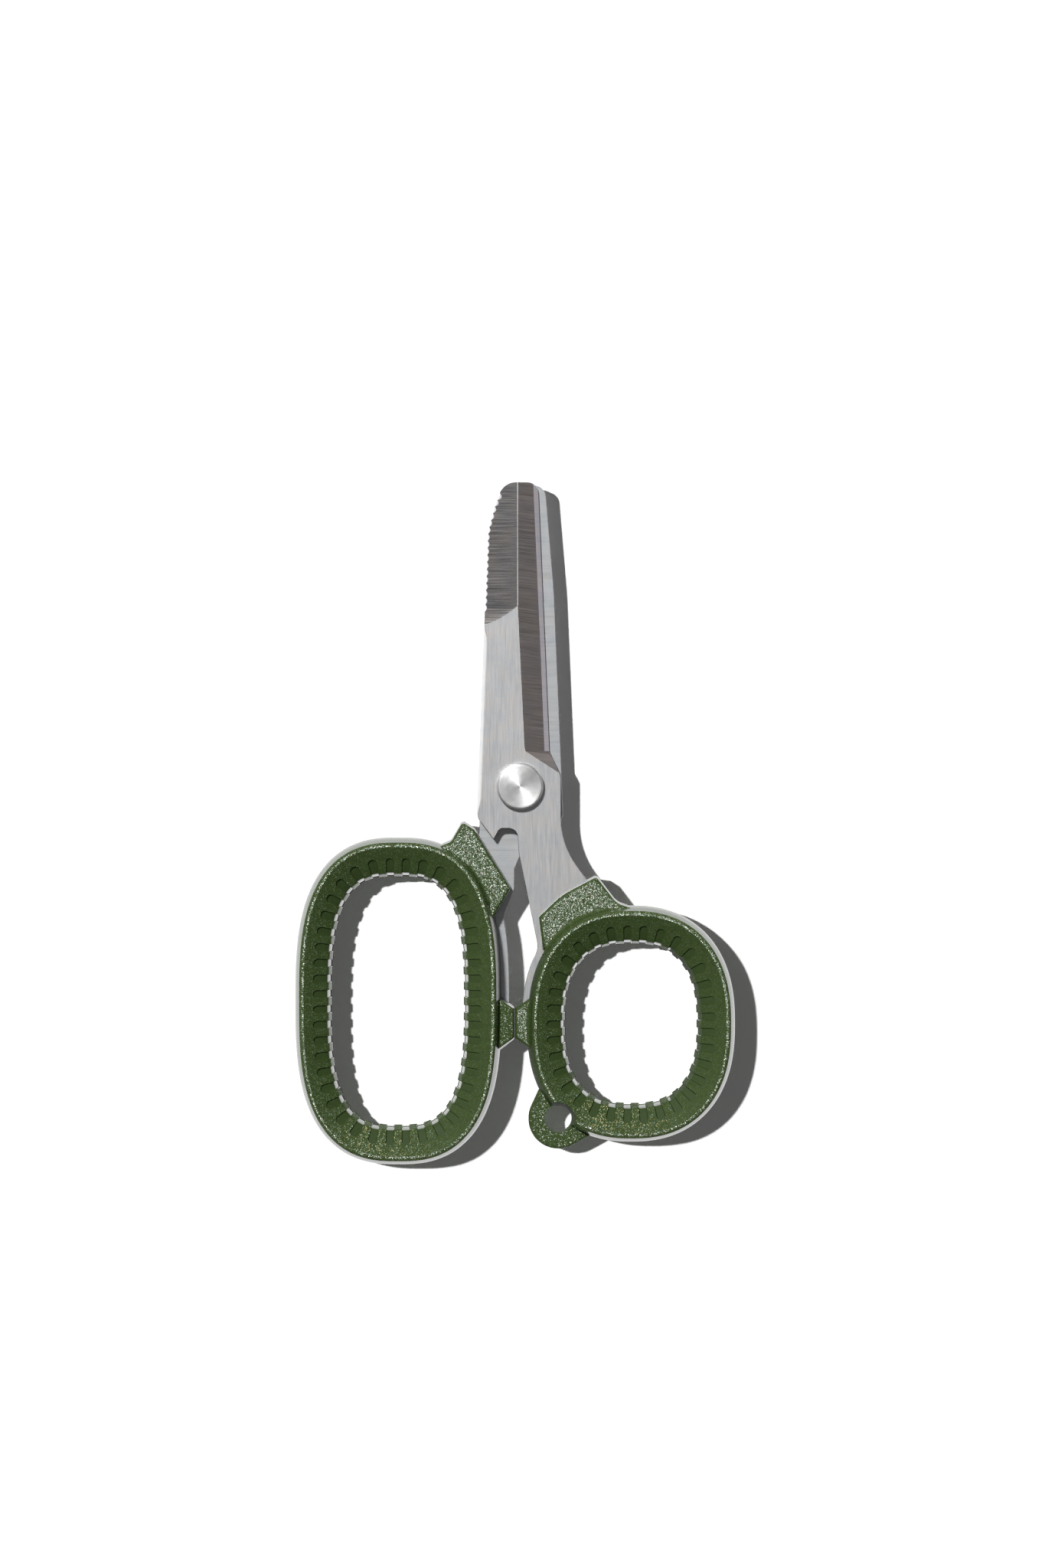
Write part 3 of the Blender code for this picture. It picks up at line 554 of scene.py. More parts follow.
def feed(tree, node, inputs):
    """Fills inputs of a shader node, each with a value or with another node's output."""
    for name, value in inputs.items():
        if isinstance(value, bpy.types.NodeSocket):
            tree.links.new(value, node.inputs[name])
        else:
            node.inputs[name].default_value = value


def add_node(tree, kind, inputs=None, **settings):
    """A shader node with its settings and inputs."""
    node = tree.nodes.new(kind)
    for name, value in settings.items():
        setattr(node, name, value)
    feed(tree, node, inputs or {})
    return node


def place_on(tree, space):
    """The place of a point, in one of the texture spaces."""
    return add_node(tree, "ShaderNodeTexCoord").outputs[space]


def mapped(tree, place, **changes):
    """A place that is moved, turned or scaled."""
    inputs = {name.capitalize(): value for name, value in changes.items()}
    return add_node(tree, "ShaderNodeMapping", {"Vector": place, **inputs}).outputs["Vector"]


def noise(tree, place, scale, detail, roughness=0.5):
    """Soft clouds of noise."""
    return add_node(tree, "ShaderNodeTexNoise", {
        "Vector": place, "Scale": scale, "Detail": detail, "Roughness": roughness,
    }).outputs["Fac"]


def ramp(tree, value, stops, steps=False):
    """Colours by a value, from (place, colour) stops."""
    node = add_node(tree, "ShaderNodeValToRGB", {"Fac": value})
    elements = node.color_ramp.elements
    if steps:
        node.color_ramp.interpolation = "CONSTANT"
    while len(elements) < len(stops):
        elements.new(1.0)
    for element, (place, tint) in zip(elements, stops):
        element.position = place
        element.color = (*tint, 1.0)
    return node.outputs["Color"]


def scaled(tint, factor):
    """A colour made lighter or darker."""
    return tuple(min(1.0, channel * factor) for channel in tint)


def mottled(tree, value, tint, dark, light):
    """A colour that a noise makes darker and lighter by two factors."""
    low, high = NOISE_SPAN
    return ramp(tree, value, [(low, scaled(tint, dark)), (0.5, tint), (high, scaled(tint, light))])


def varied(tree, value, middle, swing):
    """A number that a noise makes lower and higher by a share."""
    low, high = NOISE_SPAN
    return add_node(tree, "ShaderNodeMapRange", {
        "Value": value, "From Min": low, "From Max": high,
        "To Min": middle * (1 - swing), "To Max": middle * (1 + swing),
    }).outputs["Result"]


def chosen(tree, choice, off, on):
    """One of two numbers, by a choice of nought or one."""
    return add_node(tree, "ShaderNodeMapRange", {
        "Value": choice, "To Min": off, "To Max": on,
    }).outputs["Result"]


def maths(tree, operation, first, second):
    """A sum, a product or a test of two numbers."""
    return add_node(tree, "ShaderNodeMath", {0: first, 1: second}, operation=operation).outputs["Value"]


def vectors(tree, operation, inputs):
    """A sum or another change of vectors."""
    return add_node(tree, "ShaderNodeVectorMath", inputs, operation=operation).outputs["Vector"]


def blended(tree, factor, first, second, blend="MIX"):
    """Two colours put together."""
    return add_node(tree, "ShaderNodeMix", {0: factor, 6: first, 7: second}, data_type="RGBA",
                    blend_type=blend).outputs[2]


def scratches(tree, height, strength):
    """The normal over very shallow scratches."""
    return add_node(tree, "ShaderNodeBump", {
        "Height": height, "Strength": strength, "Distance": SCRATCH_DEPTH,
    }).outputs["Normal"]


def new_material(name):
    """An empty node material: its tree and its principled shader."""
    made = bpy.data.materials.new(name)
    made.use_nodes = True
    tree = made.node_tree
    return made, tree, tree.nodes["Principled BSDF"]


def steel_material(name, tint, roughness, stretch, contrast, drawn, rotation, slant=0.0):
    """Ground steel with streaks along its grain, soft clouds of warm and cool, and stretched highlights."""
    made, tree, shader = new_material(name)
    place = place_on(tree, "Object")
    turned_to = mapped(tree, place, rotation=(0.0, 0.0, slant))
    streaks = noise(tree, mapped(tree, turned_to, scale=stretch), 1.0, 3.0, 0.6)
    cast = ramp(tree, noise(tree, place, 420.0, 4.0, 0.6), STEEL_CAST)
    light = mottled(tree, streaks, tint, 1 - contrast, 1 + contrast)
    tangent = add_node(tree, "ShaderNodeTangent", direction_type="UV_MAP", uv_map="grain")
    feed(tree, shader, {
        "Base Color": blended(tree, 1.0, light, cast, "MULTIPLY"),
        "Roughness": varied(tree, streaks, roughness, 0.15),
        "Normal": scratches(tree, streaks, 0.06),
        "Tangent": tangent.outputs["Tangent"],
        "Metallic": 1.0,
        "Anisotropic": drawn,
        "Anisotropic Rotation": rotation,
    })
    return made


def smooth_plastic(name, tint, roughness, index, gloss=0.0):
    """The handles' plastic where the mould was polished, with some share of a glossy skin."""
    made, tree, shader = new_material(name)
    clouds = noise(tree, place_on(tree, "Object"), 2500.0, 4.0, 0.65)
    feed(tree, shader, {
        "Base Color": mottled(tree, clouds, tint, 0.85, 1.2),
        "Roughness": varied(tree, clouds, roughness, 0.2),
        "IOR": index,
        "Coat Weight": gloss,
        "Coat Roughness": roughness,
        "Coat IOR": index,
    })
    return made


def sparkling_plastic(name, settings, portion, spread, flake_index):
    """Dark green plastic filled with small tilted flakes, which shine only towards the light."""
    made, tree, shader = new_material(name)
    place = place_on(tree, "Object")
    cells = add_node(tree, "ShaderNodeTexVoronoi", {"Vector": place, "Scale": 1 / settings.flake_size})
    chance = add_node(tree, "ShaderNodeSeparateColor", {"Color": cells.outputs["Color"]})
    is_flake = maths(tree, "LESS_THAN", chance.outputs["Red"], portion)
    normal = add_node(tree, "ShaderNodeNewGeometry").outputs["Normal"]
    tilt = vectors(tree, "ADD", {0: cells.outputs["Color"], 1: (-0.5, -0.5, -0.5)})
    swung = vectors(tree, "SCALE", {0: tilt, "Scale": spread})
    leaning = vectors(tree, "ADD", {0: normal, 1: swung})
    facing = add_node(tree, "ShaderNodeMix", {0: is_flake, 4: normal, 5: leaning}, data_type="VECTOR")
    clouds = noise(tree, place, 1500.0, 5.0, 0.6)
    feed(tree, shader, {
        "Base Color": mottled(tree, clouds, settings.body, 0.86, 1.16),
        "Specular Tint": ramp(tree, chance.outputs["Green"], [
            (0.0, settings.gold), (0.4, settings.teal), (0.7, settings.pale),
        ], steps=True),
        "IOR": chosen(tree, is_flake, PLASTIC_INDEX, flake_index),
        "Roughness": chosen(tree, is_flake, settings.roughness, settings.flake_roughness),
        "Normal": vectors(tree, "NORMALIZE", {0: facing.outputs[1]}),
    })
    return made


def turned_material(name, tint, roughness, pitch):
    """Turned steel: rings round the axis and highlights drawn out along the radius."""
    made, tree, shader = new_material(name)
    centred = mapped(tree, place_on(tree, "Generated"), location=(-0.5, -0.5, -0.5))
    rings = add_node(tree, "ShaderNodeTexWave", {
        "Vector": centred, "Scale": pitch, "Distortion": 1.5, "Detail": 3.0,
    }, wave_type="RINGS", rings_direction="Z").outputs["Fac"]
    tangent = add_node(tree, "ShaderNodeTangent", direction_type="RADIAL", axis="Z")
    feed(tree, shader, {
        "Base Color": ramp(tree, rings, [(0.0, scaled(tint, 0.93)), (1.0, tint)]),
        "Roughness": varied(tree, noise(tree, centred, 5.0, 4.0), roughness, 0.15),
        "Normal": scratches(tree, rings, 0.05),
        "Tangent": tangent.outputs["Tangent"],
        "Metallic": 1.0,
        "Anisotropic": 0.45,
        "Anisotropic Rotation": QUARTER_TURN,
    })
    return made


def polymer_material(name, tint):
    """Slightly clouded glide plastic."""
    made, tree, shader = new_material(name)
    clouds = noise(tree, place_on(tree, "Object"), 1500.0, 4.0)
    low, high = NOISE_SPAN
    feed(tree, shader, {
        "Base Color": ramp(tree, clouds, [(low, scaled(tint, 0.9)), (high, tint)]),
        "Roughness": 0.55,
    })
    return made


class Bow:
    """A finger loop: a squared ellipse round the hole, where the grip face meets the hole's wall."""

    def __init__(self, centre, half, power, bands):
        self.centre = np.array(centre) * MM
        self.half = np.array(half) * MM
        self.power = power
        self.bands = np.array(bands) * MM
        self.turns = np.linspace(0, 2 * math.pi, CURVE_SAMPLES)
        edge = np.array([self.edge(turn)[0] for turn in self.turns])
        self.run = np.concatenate(([0.0], np.cumsum(np.linalg.norm(np.diff(edge, axis=0), axis=1))))

    def edge(self, turn):
        """Point on the hole's edge and its outward normal."""
        wave = np.array((math.cos(turn), math.sin(turn)))
        reach = np.abs(wave) + NEARLY_NONE
        point = self.centre + self.half * np.sign(wave) * reach ** (2 / self.power)
        normal = np.sign(wave) * reach ** (2 - 2 / self.power) / self.half
        return point, normal / np.linalg.norm(normal)

    def band(self, turn):
        """Width of the ring there."""
        return float(self.bands @ self.edge(turn)[1] ** 2)

    def at(self, turn, outwards):
        """Point at a distance outside the hole's edge."""
        point, normal = self.edge(turn)
        return point + normal * outwards

    def outside(self, x, y):
        """About how far a point lies outside the hole's edge."""
        spot = np.abs((np.array((x, y)) - self.centre) / self.half)
        reach = float(np.sum(spot ** self.power)) ** (1 / self.power)
        rise = (spot / reach) ** (self.power - 1) / self.half
        return (reach - 1) / float(np.linalg.norm(rise))

    def turn_at_run(self, place):
        """The turn at a distance along the hole's edge."""
        return float(np.interp(place, self.run, self.turns))

    def turn_beside(self, depth, portion, extra):
        """The turn on the pivot side whose point, at a portion of the band and an extra, lies at a depth."""
        turns = np.linspace(math.pi / 2, 3 * math.pi / 2, CURVE_SAMPLES)
        points = np.array([self.at(turn, portion * self.band(turn) + extra) for turn in turns])
        return float(np.interp(depth, -points[:, 1], turns))

    def beside(self, depth, portion, extra):
        """Point on the pivot side of the ring at a depth, at a portion of its band and an extra distance."""
        turn = self.turn_beside(depth, portion, extra)
        return tuple(self.at(turn, portion * self.band(turn) + extra))


FINGER_BOW = Bow((18.04, -31.79), (10.26, 18.88), 2.99, (5.0, 5.34))
THUMB_BOW = Bow((16.45, -35.15), (10.26, 12.3), 2.52, (5.15, 5.2))


def tang(bow, shown, wall, depths, foot):
    """The tang down the pivot side of a bow: a strip left showing outside, and its buried inner side."""
    start, end = depths
    down = np.linspace(start + TANG_BEND / 3, foot, TANG_OUTER_STEPS)
    bend = (*bow.beside(start, 1, shown), TANG_BEND)
    outer = [bow.beside(depth, 1, shown) for depth in down]
    inner = [bow.beside(depth, 0, wall) for depth in np.linspace(foot, end, TANG_INNER_STEPS)]
    return [bend] + [(*point, 0.0) for point in outer + inner]


def front_outline(handles):
    """Front blade with its rounded tip, in the thumb half."""
    strip = tang(THUMB_BOW, handles.thumb_tang, handles.tang_wall, THUMB_TANG_DEPTHS, handles.stop_depth)
    plate = in_metres(SHANK_AND_EDGE + FRONT_TIP + BOSS_AND_NOTCH)
    return divided(rounded(plate + strip + in_metres(FRONT_SHOULDER)))


def rear_outline(handles):
    """Rear blade, in the finger half."""
    strip = tang(FINGER_BOW, handles.finger_tang, handles.tang_wall, FINGER_TANG_DEPTHS,
                 handles.stop_depth)
    plate = in_metres(SHANK_AND_EDGE + REAR_TIP + BOSS_AND_NOTCH + REAR_WAIST)
    return rounded(plate + strip + in_metres(REAR_SHOULDER))


def scalloped(outline, blades, tip):
    """The outline with round bites along its spine, and how far into a bite each point lies."""
    steps = np.linalg.norm(np.diff(outline, axis=0), axis=1)
    run = np.concatenate(([0.0], np.cumsum(steps)))
    spine = (outline[:, 0] < -blades.ridge_out) & (outline[:, 1] > 0)
    heights = (blades.scallop_first - tip, blades.scallop_last - tip)
    first, last = np.interp(heights, -outline[spine, 1], run[spine])
    count = round((last - first) / blades.scallop_pitch)
    places = np.linspace(first, last, count * SCALLOP_STEPS + 1)
    bite = np.abs(np.sin(np.pi * np.arange(len(places)) / SCALLOP_STEPS))
    x = np.interp(places, run, outline[:, 0])
    y = np.interp(places, run, outline[:, 1])
    above = outline[run < first]
    below = outline[run > last]
    plain = np.concatenate((above, np.stack((x, y), axis=1), below))
    depth = np.concatenate((np.zeros(len(above)), bite, np.zeros(len(below))))
    serrated = np.concatenate((np.zeros(len(above)), np.ones(len(bite)), np.zeros(len(below))))
    return plain, depth, serrated


def blade_plate(plain, depth, serrated, blades, spine_round):
    """The stamped plate: broken rims, a rounded spine, and scallops that lean inwards as they rise."""
    low = blades.gap / 2
    high = low + blades.thickness
    normals = outward(plain)
    foot = plain - normals * (blades.scallop_depth * depth)[:, None]
    x, y = plain.T
    on_spine = np.clip((y - SPINE_START) / SPINE_START_FADE, 0, 1)
    on_spine = on_spine * np.clip((SPINE_END - y) / SPINE_END_FADE, 0, 1)
    on_spine *= np.clip((-x - SPINE_OUT) / SPINE_OUT_FADE, 0, 1) * spine_round
    slopes = np.linspace(blades.spine_side, blades.spine_face, SPINE_STEPS + 1)
    lean = blades.scallop_lean * (0.35 + 0.65 * depth)
    start = low + 2 * blades.break_edge
    layers = [
        at_height(foot - normals * blades.break_edge, low),
        at_height(foot, low + blades.break_edge),
    ]
    for step in range(SPINE_STEPS + 1):
        swing = math.pi / 2 * step / SPINE_STEPS
        round_in = blades.spine_round * (math.sin(slopes[0]) - math.sin(slopes[step]))
        round_drop = blades.spine_round * (math.cos(slopes[-1]) - math.cos(slopes[step]))
        inset = on_spine * round_in + (1 - on_spine) * blades.break_edge * (1 - math.cos(swing))
        height = high - on_spine * round_drop - (1 - on_spine) * blades.break_edge * (1 - math.sin(swing))
        rise = (high - start) * step / SPINE_STEPS
        inset = np.where(serrated > 0, lean * rise, inset)
        height = np.where(serrated > 0, start + rise, height)
        layers.append(at_height(foot - normals * inset[:, None], height))
    return stacked(layers)


class Grinds:
    """The cutters that grind a blade, for a tip at some height."""

    def __init__(self, blades, tip):
        self.blades = blades
        self.tip = tip
        self.low = blades.gap / 2
        self.high = self.low + blades.thickness
        self.heel = SHANK_AND_EDGE[2][1] * MM
        self.heel_out = SHANK_AND_EDGE[2][0] * MM
        self.tip_out = FRONT_TIP[0][0] * MM

    def edge_out(self, height):
        """How far out the cutting edge lies at a height."""
        portion = (height - self.heel) / (self.tip - self.heel)
        return self.heel_out + portion * (self.tip_out - self.heel_out)

    def top_out(self, height):
        """Where the cutting bevel meets the blade's face at a height."""
        blades = self.blades
        portion = (height - blades.bevel_heel_height) / (self.tip - blades.bevel_heel_height)
        return blades.bevel_heel - portion * (blades.bevel_heel + blades.bevel_tip)

    def bevel_height(self, out, height):
        """Height of the cutting bevel's surface above a point of the plate."""
        top = self.top_out(height)
        portion = (out - top) / (self.edge_out(height) - top)
        return self.high - portion * (self.blades.thickness - self.blades.bevel_edge)

    def raised(self, points):
        """The points with copies of them above the blade."""
        return points + [(x, y, self.high + CUT_MARGIN) for x, y, z in points]

    def cutting_bevel(self):
        """Cutter for the main bevel, from the tip to its slanting run-out above the boss."""
        blades = self.blades
        end = self.tip + CUT_MARGIN
        far_tip = self.edge_out(end) + CUT_MARGIN
        far_heel = self.heel_out + CUT_MARGIN
        turn = self.heel - CUT_MARGIN / 2
        foot_out = SHANK_AND_EDGE[1][0] * MM + CUT_MARGIN
        return hull(self.raised([
            (self.top_out(end), end, self.high),
            (blades.bevel_heel, blades.bevel_heel_height, self.high),
            (blades.bevel_turn, self.heel, self.high),
            (foot_out, blades.runout_foot - CUT_MARGIN, self.high),
            (far_heel, turn, self.bevel_height(far_heel, turn)),
            (far_tip, end, self.bevel_height(far_tip, end)),
        ]))

    def honed_edge(self):
        """Cutter for the narrow honed face along the cutting edge."""
        blades = self.blades
        points = []
        for height in (self.heel, self.tip + CUT_MARGIN):
            edge = self.edge_out(height)
            start = edge - blades.honed_width
            beyond = edge + CUT_MARGIN / 2
            top = self.bevel_height(start, height)
            drop = (top - self.low - blades.honed_edge) / blades.honed_width
            points.append((start, height, top))
            points.append((beyond, height, top - drop * (beyond - start)))
        return hull(self.raised(points))

    def spine_grind(self):
        """Cutter for the serrated side's grind, which ends in an arc as a round wheel leaves it."""
        blades = self.blades
        ridge = blades.ridge_out
        end = self.tip + CUT_MARGIN
        foot = self.tip - blades.grind_length
        far = -BOSS_AND_NOTCH[0][0] * MM + CUT_MARGIN
        spine = -FRONT_TIP[3][0] * MM
        lean = (self.high - self.bevel_height(-ridge, end)) / (end - foot)
        fall = (blades.thickness - blades.grind_edge) / (spine - ridge)

        def surface(x, y):
            return self.high - fall * (-ridge - x) - lean * (y - foot)

        points = [(-ridge, end, surface(-ridge, end)), (-far, end, surface(-far, end))]
        centre_x = -ridge - blades.grind_radius * math.sin(blades.grind_slope)
        centre_y = foot + blades.grind_radius * math.cos(blades.grind_slope)
        for swing in np.linspace(blades.grind_slope, blades.grind_slope - blades.grind_sweep,
                                 GRIND_STEPS):
            x = centre_x + blades.grind_radius * math.sin(swing)
            y = centre_y - blades.grind_radius * math.cos(swing)
            shallow = (self.high - surface(x, y)) / blades.thickness
            points.append((x, y, self.high))
            for portion in np.linspace(0, 1, RUNOUT_STEPS + 1):
                ahead = y + shallow * (blades.grind_wall + blades.grind_runout * portion)
                depth = (self.high - surface(x, ahead)) * (1 - blades.grind_curve * (1 - portion) ** 2)
                points.append((x, ahead, self.high - depth))
        return hull(self.raised(points))

    def ground_end(self):
        """Height of the lowest point of the spine grind's arc."""
        blades = self.blades
        lowest = math.cos(blades.grind_slope - blades.grind_sweep)
        return self.tip - blades.grind_length - blades.grind_radius * (lowest - math.cos(blades.grind_slope))

    def worn_ridge(self):
        """Cutter for the narrow flat along the ridge between the spine grind and the main bevel."""
        blades = self.blades
        points = []
        for height in (self.tip - blades.grind_length, self.tip + CUT_MARGIN):
            top = self.bevel_height(-blades.ridge_out, height) - blades.ridge_flat
            points.append((-blades.ridge_out - CUT_MARGIN / 2, height, top))
            points.append((-blades.ridge_out + CUT_MARGIN / 2, height, top))
        return hull(self.raised(points))


def grain_map(mesh):
    """Lays the grain's map flat over a blade."""
    layer = mesh.uv_layers.new(name="grain")
    for loop in mesh.loops:
        x, y, z = mesh.vertices[loop.vertex_index].co
        layer.data[loop.index].uv = (x, y)


def sort_faces(item, half, ground_end, scallops_end):
    """Gives each face of a blade its finish: the order is that of the list in the blades' operator."""
    back = half.inverted()
    turn = back.to_3x3()
    for face in item.data.polygons:
        normal = turn @ face.normal
        height = (back @ face.center).y
        if normal.z < INNER_FACING:
            face.material_index = INNER
        elif ground_end < height and GRIND_LEAN[0] < normal.x < GRIND_LEAN[1] and GRIND_FACING < normal.z:
            face.material_index = GRIND
        elif normal.x < SPINE_LEAN and normal.z > SPINE_FACING:
            face.material_index = HONED if scallops_end < height else SPINE
        elif normal.z < SIDE_FACING or normal.z > LEVEL_FACING:
            face.material_index = FACE
        elif normal.x > HONED_LEAN:
            face.material_index = HONED
        else:
            face.material_index = BEVEL if normal.x > BEVEL_LEAN else FACE


def build_blade(name, node, body, half, plate, cutters, finishes, ends):
    """Cuts one blade out of its plate and puts it in place of its CAD node."""
    item = add_piece(name, plate, half)
    for label, cutter in cutters.items():
        combine(item, add_piece(f"{name}_{label}", cutter, half), "DIFFERENCE")
    finish(item, finishes, GROUND_ANGLE)
    sort_faces(item, half, *ends)
    grain_map(item.data)
    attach(item, body)
    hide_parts(node)
    return item


class SCISSORS_OT_blades(bpy.types.Operator):
    """Build the two ground blades"""

    bl_idname = "scissors.blades"
    bl_label = "Blades"

    def execute(self, context):
        settings = context.scene.scissors
        blades = settings.blades
        pivot = settings.pivot
        low = blades.gap / 2
        high = low + blades.thickness
        finishes = [
            steel_material("face steel", blades.face, blades.face_roughness, ALONG, 0.10, 0.3, 0.0),
            steel_material("bevel steel", blades.bevel, 0.46, ACROSS, 0.13, 0.3, QUARTER_TURN,
                           math.radians(7)),
            # Honed face: a painted reflection in a lighter, lilac colour of the same steel
            steel_material("honed steel", blades.honed, 0.36, ACROSS, 0.08, 0.3, QUARTER_TURN),
            steel_material("grind steel", blades.grind, blades.grind_roughness, ACROSS, 0.28, 0.0,
                           QUARTER_TURN),
            steel_material("inner steel", blades.inside, 0.46, ACROSS, 0.07, 0.4, QUARTER_TURN),
            # Spine and scallops: a painted sheen in a lighter colour of the same steel
            steel_material("spine steel", blades.spine, 0.25, ALONG, 0.05, 0.0, 0.0),
        ]
        hole = circle((0, 0), pivot.pin_radius + pivot.clearance, HOLE_STEPS)
        reach = high + CUT_MARGIN

        tip = FRONT_TIP[0][1] * MM
        grinds = Grinds(blades, tip)
        plain, depth, serrated = scalloped(front_outline(settings.handles), blades, tip)
        plate = blade_plate(plain, depth, serrated, blades, 1.0)
        build_blade("front_blade_ground", "front_blade", "thumb_half", THUMB_HALF, plate, {
            "bore": prism(hole, -reach, reach),
            "cutting_bevel": grinds.cutting_bevel(),
            "honed_edge": grinds.honed_edge(),
            "spine_grind": grinds.spine_grind(),
            "worn_ridge": grinds.worn_ridge(),
        }, finishes, (grinds.ground_end(), tip - blades.scallop_last))

        tip = REAR_TIP[0][1] * MM
        grinds = Grinds(blades, tip)
        plain = rear_outline(settings.handles)
        none = np.zeros(len(plain))
        plate = blade_plate(plain, none, none, blades, 0.0)
        build_blade("rear_blade_ground", "rear_blade", "finger_half", FINGER_HALF, plate, {
            "bore": prism(hole, -reach, reach),
            "cutting_bevel": grinds.cutting_bevel(),
            "honed_edge": grinds.honed_edge(),
        }, finishes, (tip, tip))
        return {"FINISHED"}


class RingSection:
    """Section of a grip ring as (outwards from the hole's edge, height), for any place along it."""

    def __init__(self, handles):
        self.handles = handles
        self.half = handles.thickness / 2
        self.inner = handles.inner_edge / 2

    def outer_wall(self, width, height):
        """How far out the bulging outer wall lies at a height."""
        top = self.half - self.handles.crest_round
        return width - self.handles.outer_draft * min(1.0, abs(height) / top) ** WALL_BULGE

    def upper(self, width, offset):
        """Upper half of the section, from the hole's middle over the crest to the outer wall's middle."""
        handles = self.handles
        edge = np.array((0.0, self.inner))
        foot = np.array((-handles.inner_draft, 0.0))
        land = width - handles.outer_draft - handles.crest_round - handles.crest_land
        crest = np.array((land, self.half))
        wall = (edge - foot) / np.linalg.norm(edge - foot)
        face = (crest - edge) / np.linalg.norm(crest - edge)
        notch = handles.grip_width / 2
        sunk = handles.grip_depth if abs(offset) < notch else 0.0
        end = handles.grip_length - notch
        if abs(offset) < notch:
            end += math.sqrt(notch ** 2 - offset ** 2)
        into_wall = np.array((wall[1], -wall[0]))
        into_face = np.array((face[1], -face[0]))
        corner = edge + (into_wall + into_face) * sunk / (1 + into_wall @ into_face)
        low = foot + into_wall * sunk
        bead = handles.parting_bead
        run = handles.grip_run / 2
        before = corner - wall * handles.edge_round
        after = corner + face * handles.edge_round
        face_length = np.linalg.norm(crest - edge)
        rows = [
            low - into_wall * bead,
            low - into_wall * bead + wall * bead,
            low + wall * bead * 2,
            (low + before) / 2,
            before,
            (before + 2 * corner + after) / 4,
            after,
            *(corner + face * end * portion for portion in NOTCH_ROWS),
            corner + face * (end - run),
            edge + face * (end + run),
        ]
        for portion in FACE_ROWS:
            rows.append(edge + face * (end + run + portion * (face_length - end - run)))
        top = self.half - handles.crest_round
        round_out = land + handles.crest_land
        for swing in CREST_SWINGS:
            rows.append(np.array((
                round_out + handles.crest_round * math.cos(swing),
                top + handles.crest_round * math.sin(swing),
            )))
        for portion in WALL_ROWS:
            rows.append(np.array((self.outer_wall(width, top * portion), top * portion)))
        return rows

    def loop(self, width, offset):
        """The whole section, closed."""
        upper = self.upper(width, offset)
        lower = [row * (1, -1) for row in reversed(upper[1:-1])]
        return upper + lower


def grip_ring(bow, section, handles):
    """The ring of a bow, with its round-ended grip notches on both faces of the hole."""
    count = round(bow.run[-1] / handles.grip_pitch)
    pitch = bow.run[-1] / count
    notch = handles.grip_width / 2
    run = handles.grip_run / 2
    side = [portion * notch for portion in NOTCH_COLUMNS]
    side += [notch - run, notch + run, notch + run + NOTCH_MARGIN]
    offsets = [-offset for offset in reversed(side)] + [0.0] + side + [pitch / 2]
    sections = []
    for index in range(count):
        for offset in offsets:
            turn = bow.turn_at_run((index + 0.5) * pitch + offset)
            rows = section.loop(bow.band(turn), offset)
            sections.append([(*bow.at(turn, out), height) for out, height in rows])
    return swept(sections)


def valley(bow, section, turns, top, radius):
    """The fillets where a ring's outer wall rises from a block, above and below, fading at their ends."""
    made = []
    buried = top - radius
    for side in (1, -1):
        layers = []
        for place in np.linspace(*VALLEY_ENDS, VALLEY_STEPS):
            turn = turns[0] + place * (turns[1] - turns[0])
            width = bow.band(turn)
            reach = radius * min(1.0, VALLEY_FADE * place, VALLEY_FADE * (1 - place))
            rows = []
            for swing in np.linspace(0, math.pi / 2, ROUND_STEPS + 1):
                height = top + reach * (1 - math.sin(swing))
                out = section.outer_wall(width, height) + reach * (1 - math.cos(swing))
                rows.append((*bow.at(turn, out), side * height))
            deep = width - 2 * radius - section.handles.outer_draft
            rows.append((*bow.at(turn, section.outer_wall(width, buried) - radius / 4), side * buried))
            rows.append((*bow.at(turn, deep), side * buried))
            rows.append((*bow.at(turn, deep), side * (top + reach)))
            layers.append(np.array(rows))
        made.append(stacked(layers))
    return made


def collar_outline(bow, toe, top, turns):
    """Outline of the collar that holds a blade, closed along the middle of its bow's ring."""
    middle = []
    for turn in np.radians(np.linspace(*turns, COLLAR_STEPS)):
        middle.append((*bow.at(turn, bow.band(turn) / 2), 0.0))
    return rounded(in_metres(toe) + middle + in_metres(top))


def stop_outline(bow, handles, face):
    """Outline of the stop that meets the other handle's stop when the scissors close."""
    root = bow.centre[0] - bow.half[0] - bow.bands[0] / 2
    flare = handles.stop_slope * (root - face)
    top = handles.stop_depth
    foot = top + handles.stop_face
    return rounded([
        (root, flare - top, 0.0),
        (face, -top, STOP_CORNER),
        (face, -foot, STOP_CORNER),
        (root, -foot - flare, 0.0),
    ])


def stop_turns(bow, handles, face):
    """The turns between which a stop meets its ring's outer wall."""
    wall = bow.centre[0] - bow.half[0] - bow.bands[0]
    reach = handles.stop_face / 2 + handles.stop_slope * (wall - face)
    middle = handles.stop_depth + handles.stop_face / 2
    return [bow.turn_beside(depth, 1, 0) for depth in (middle - reach, middle + reach)]


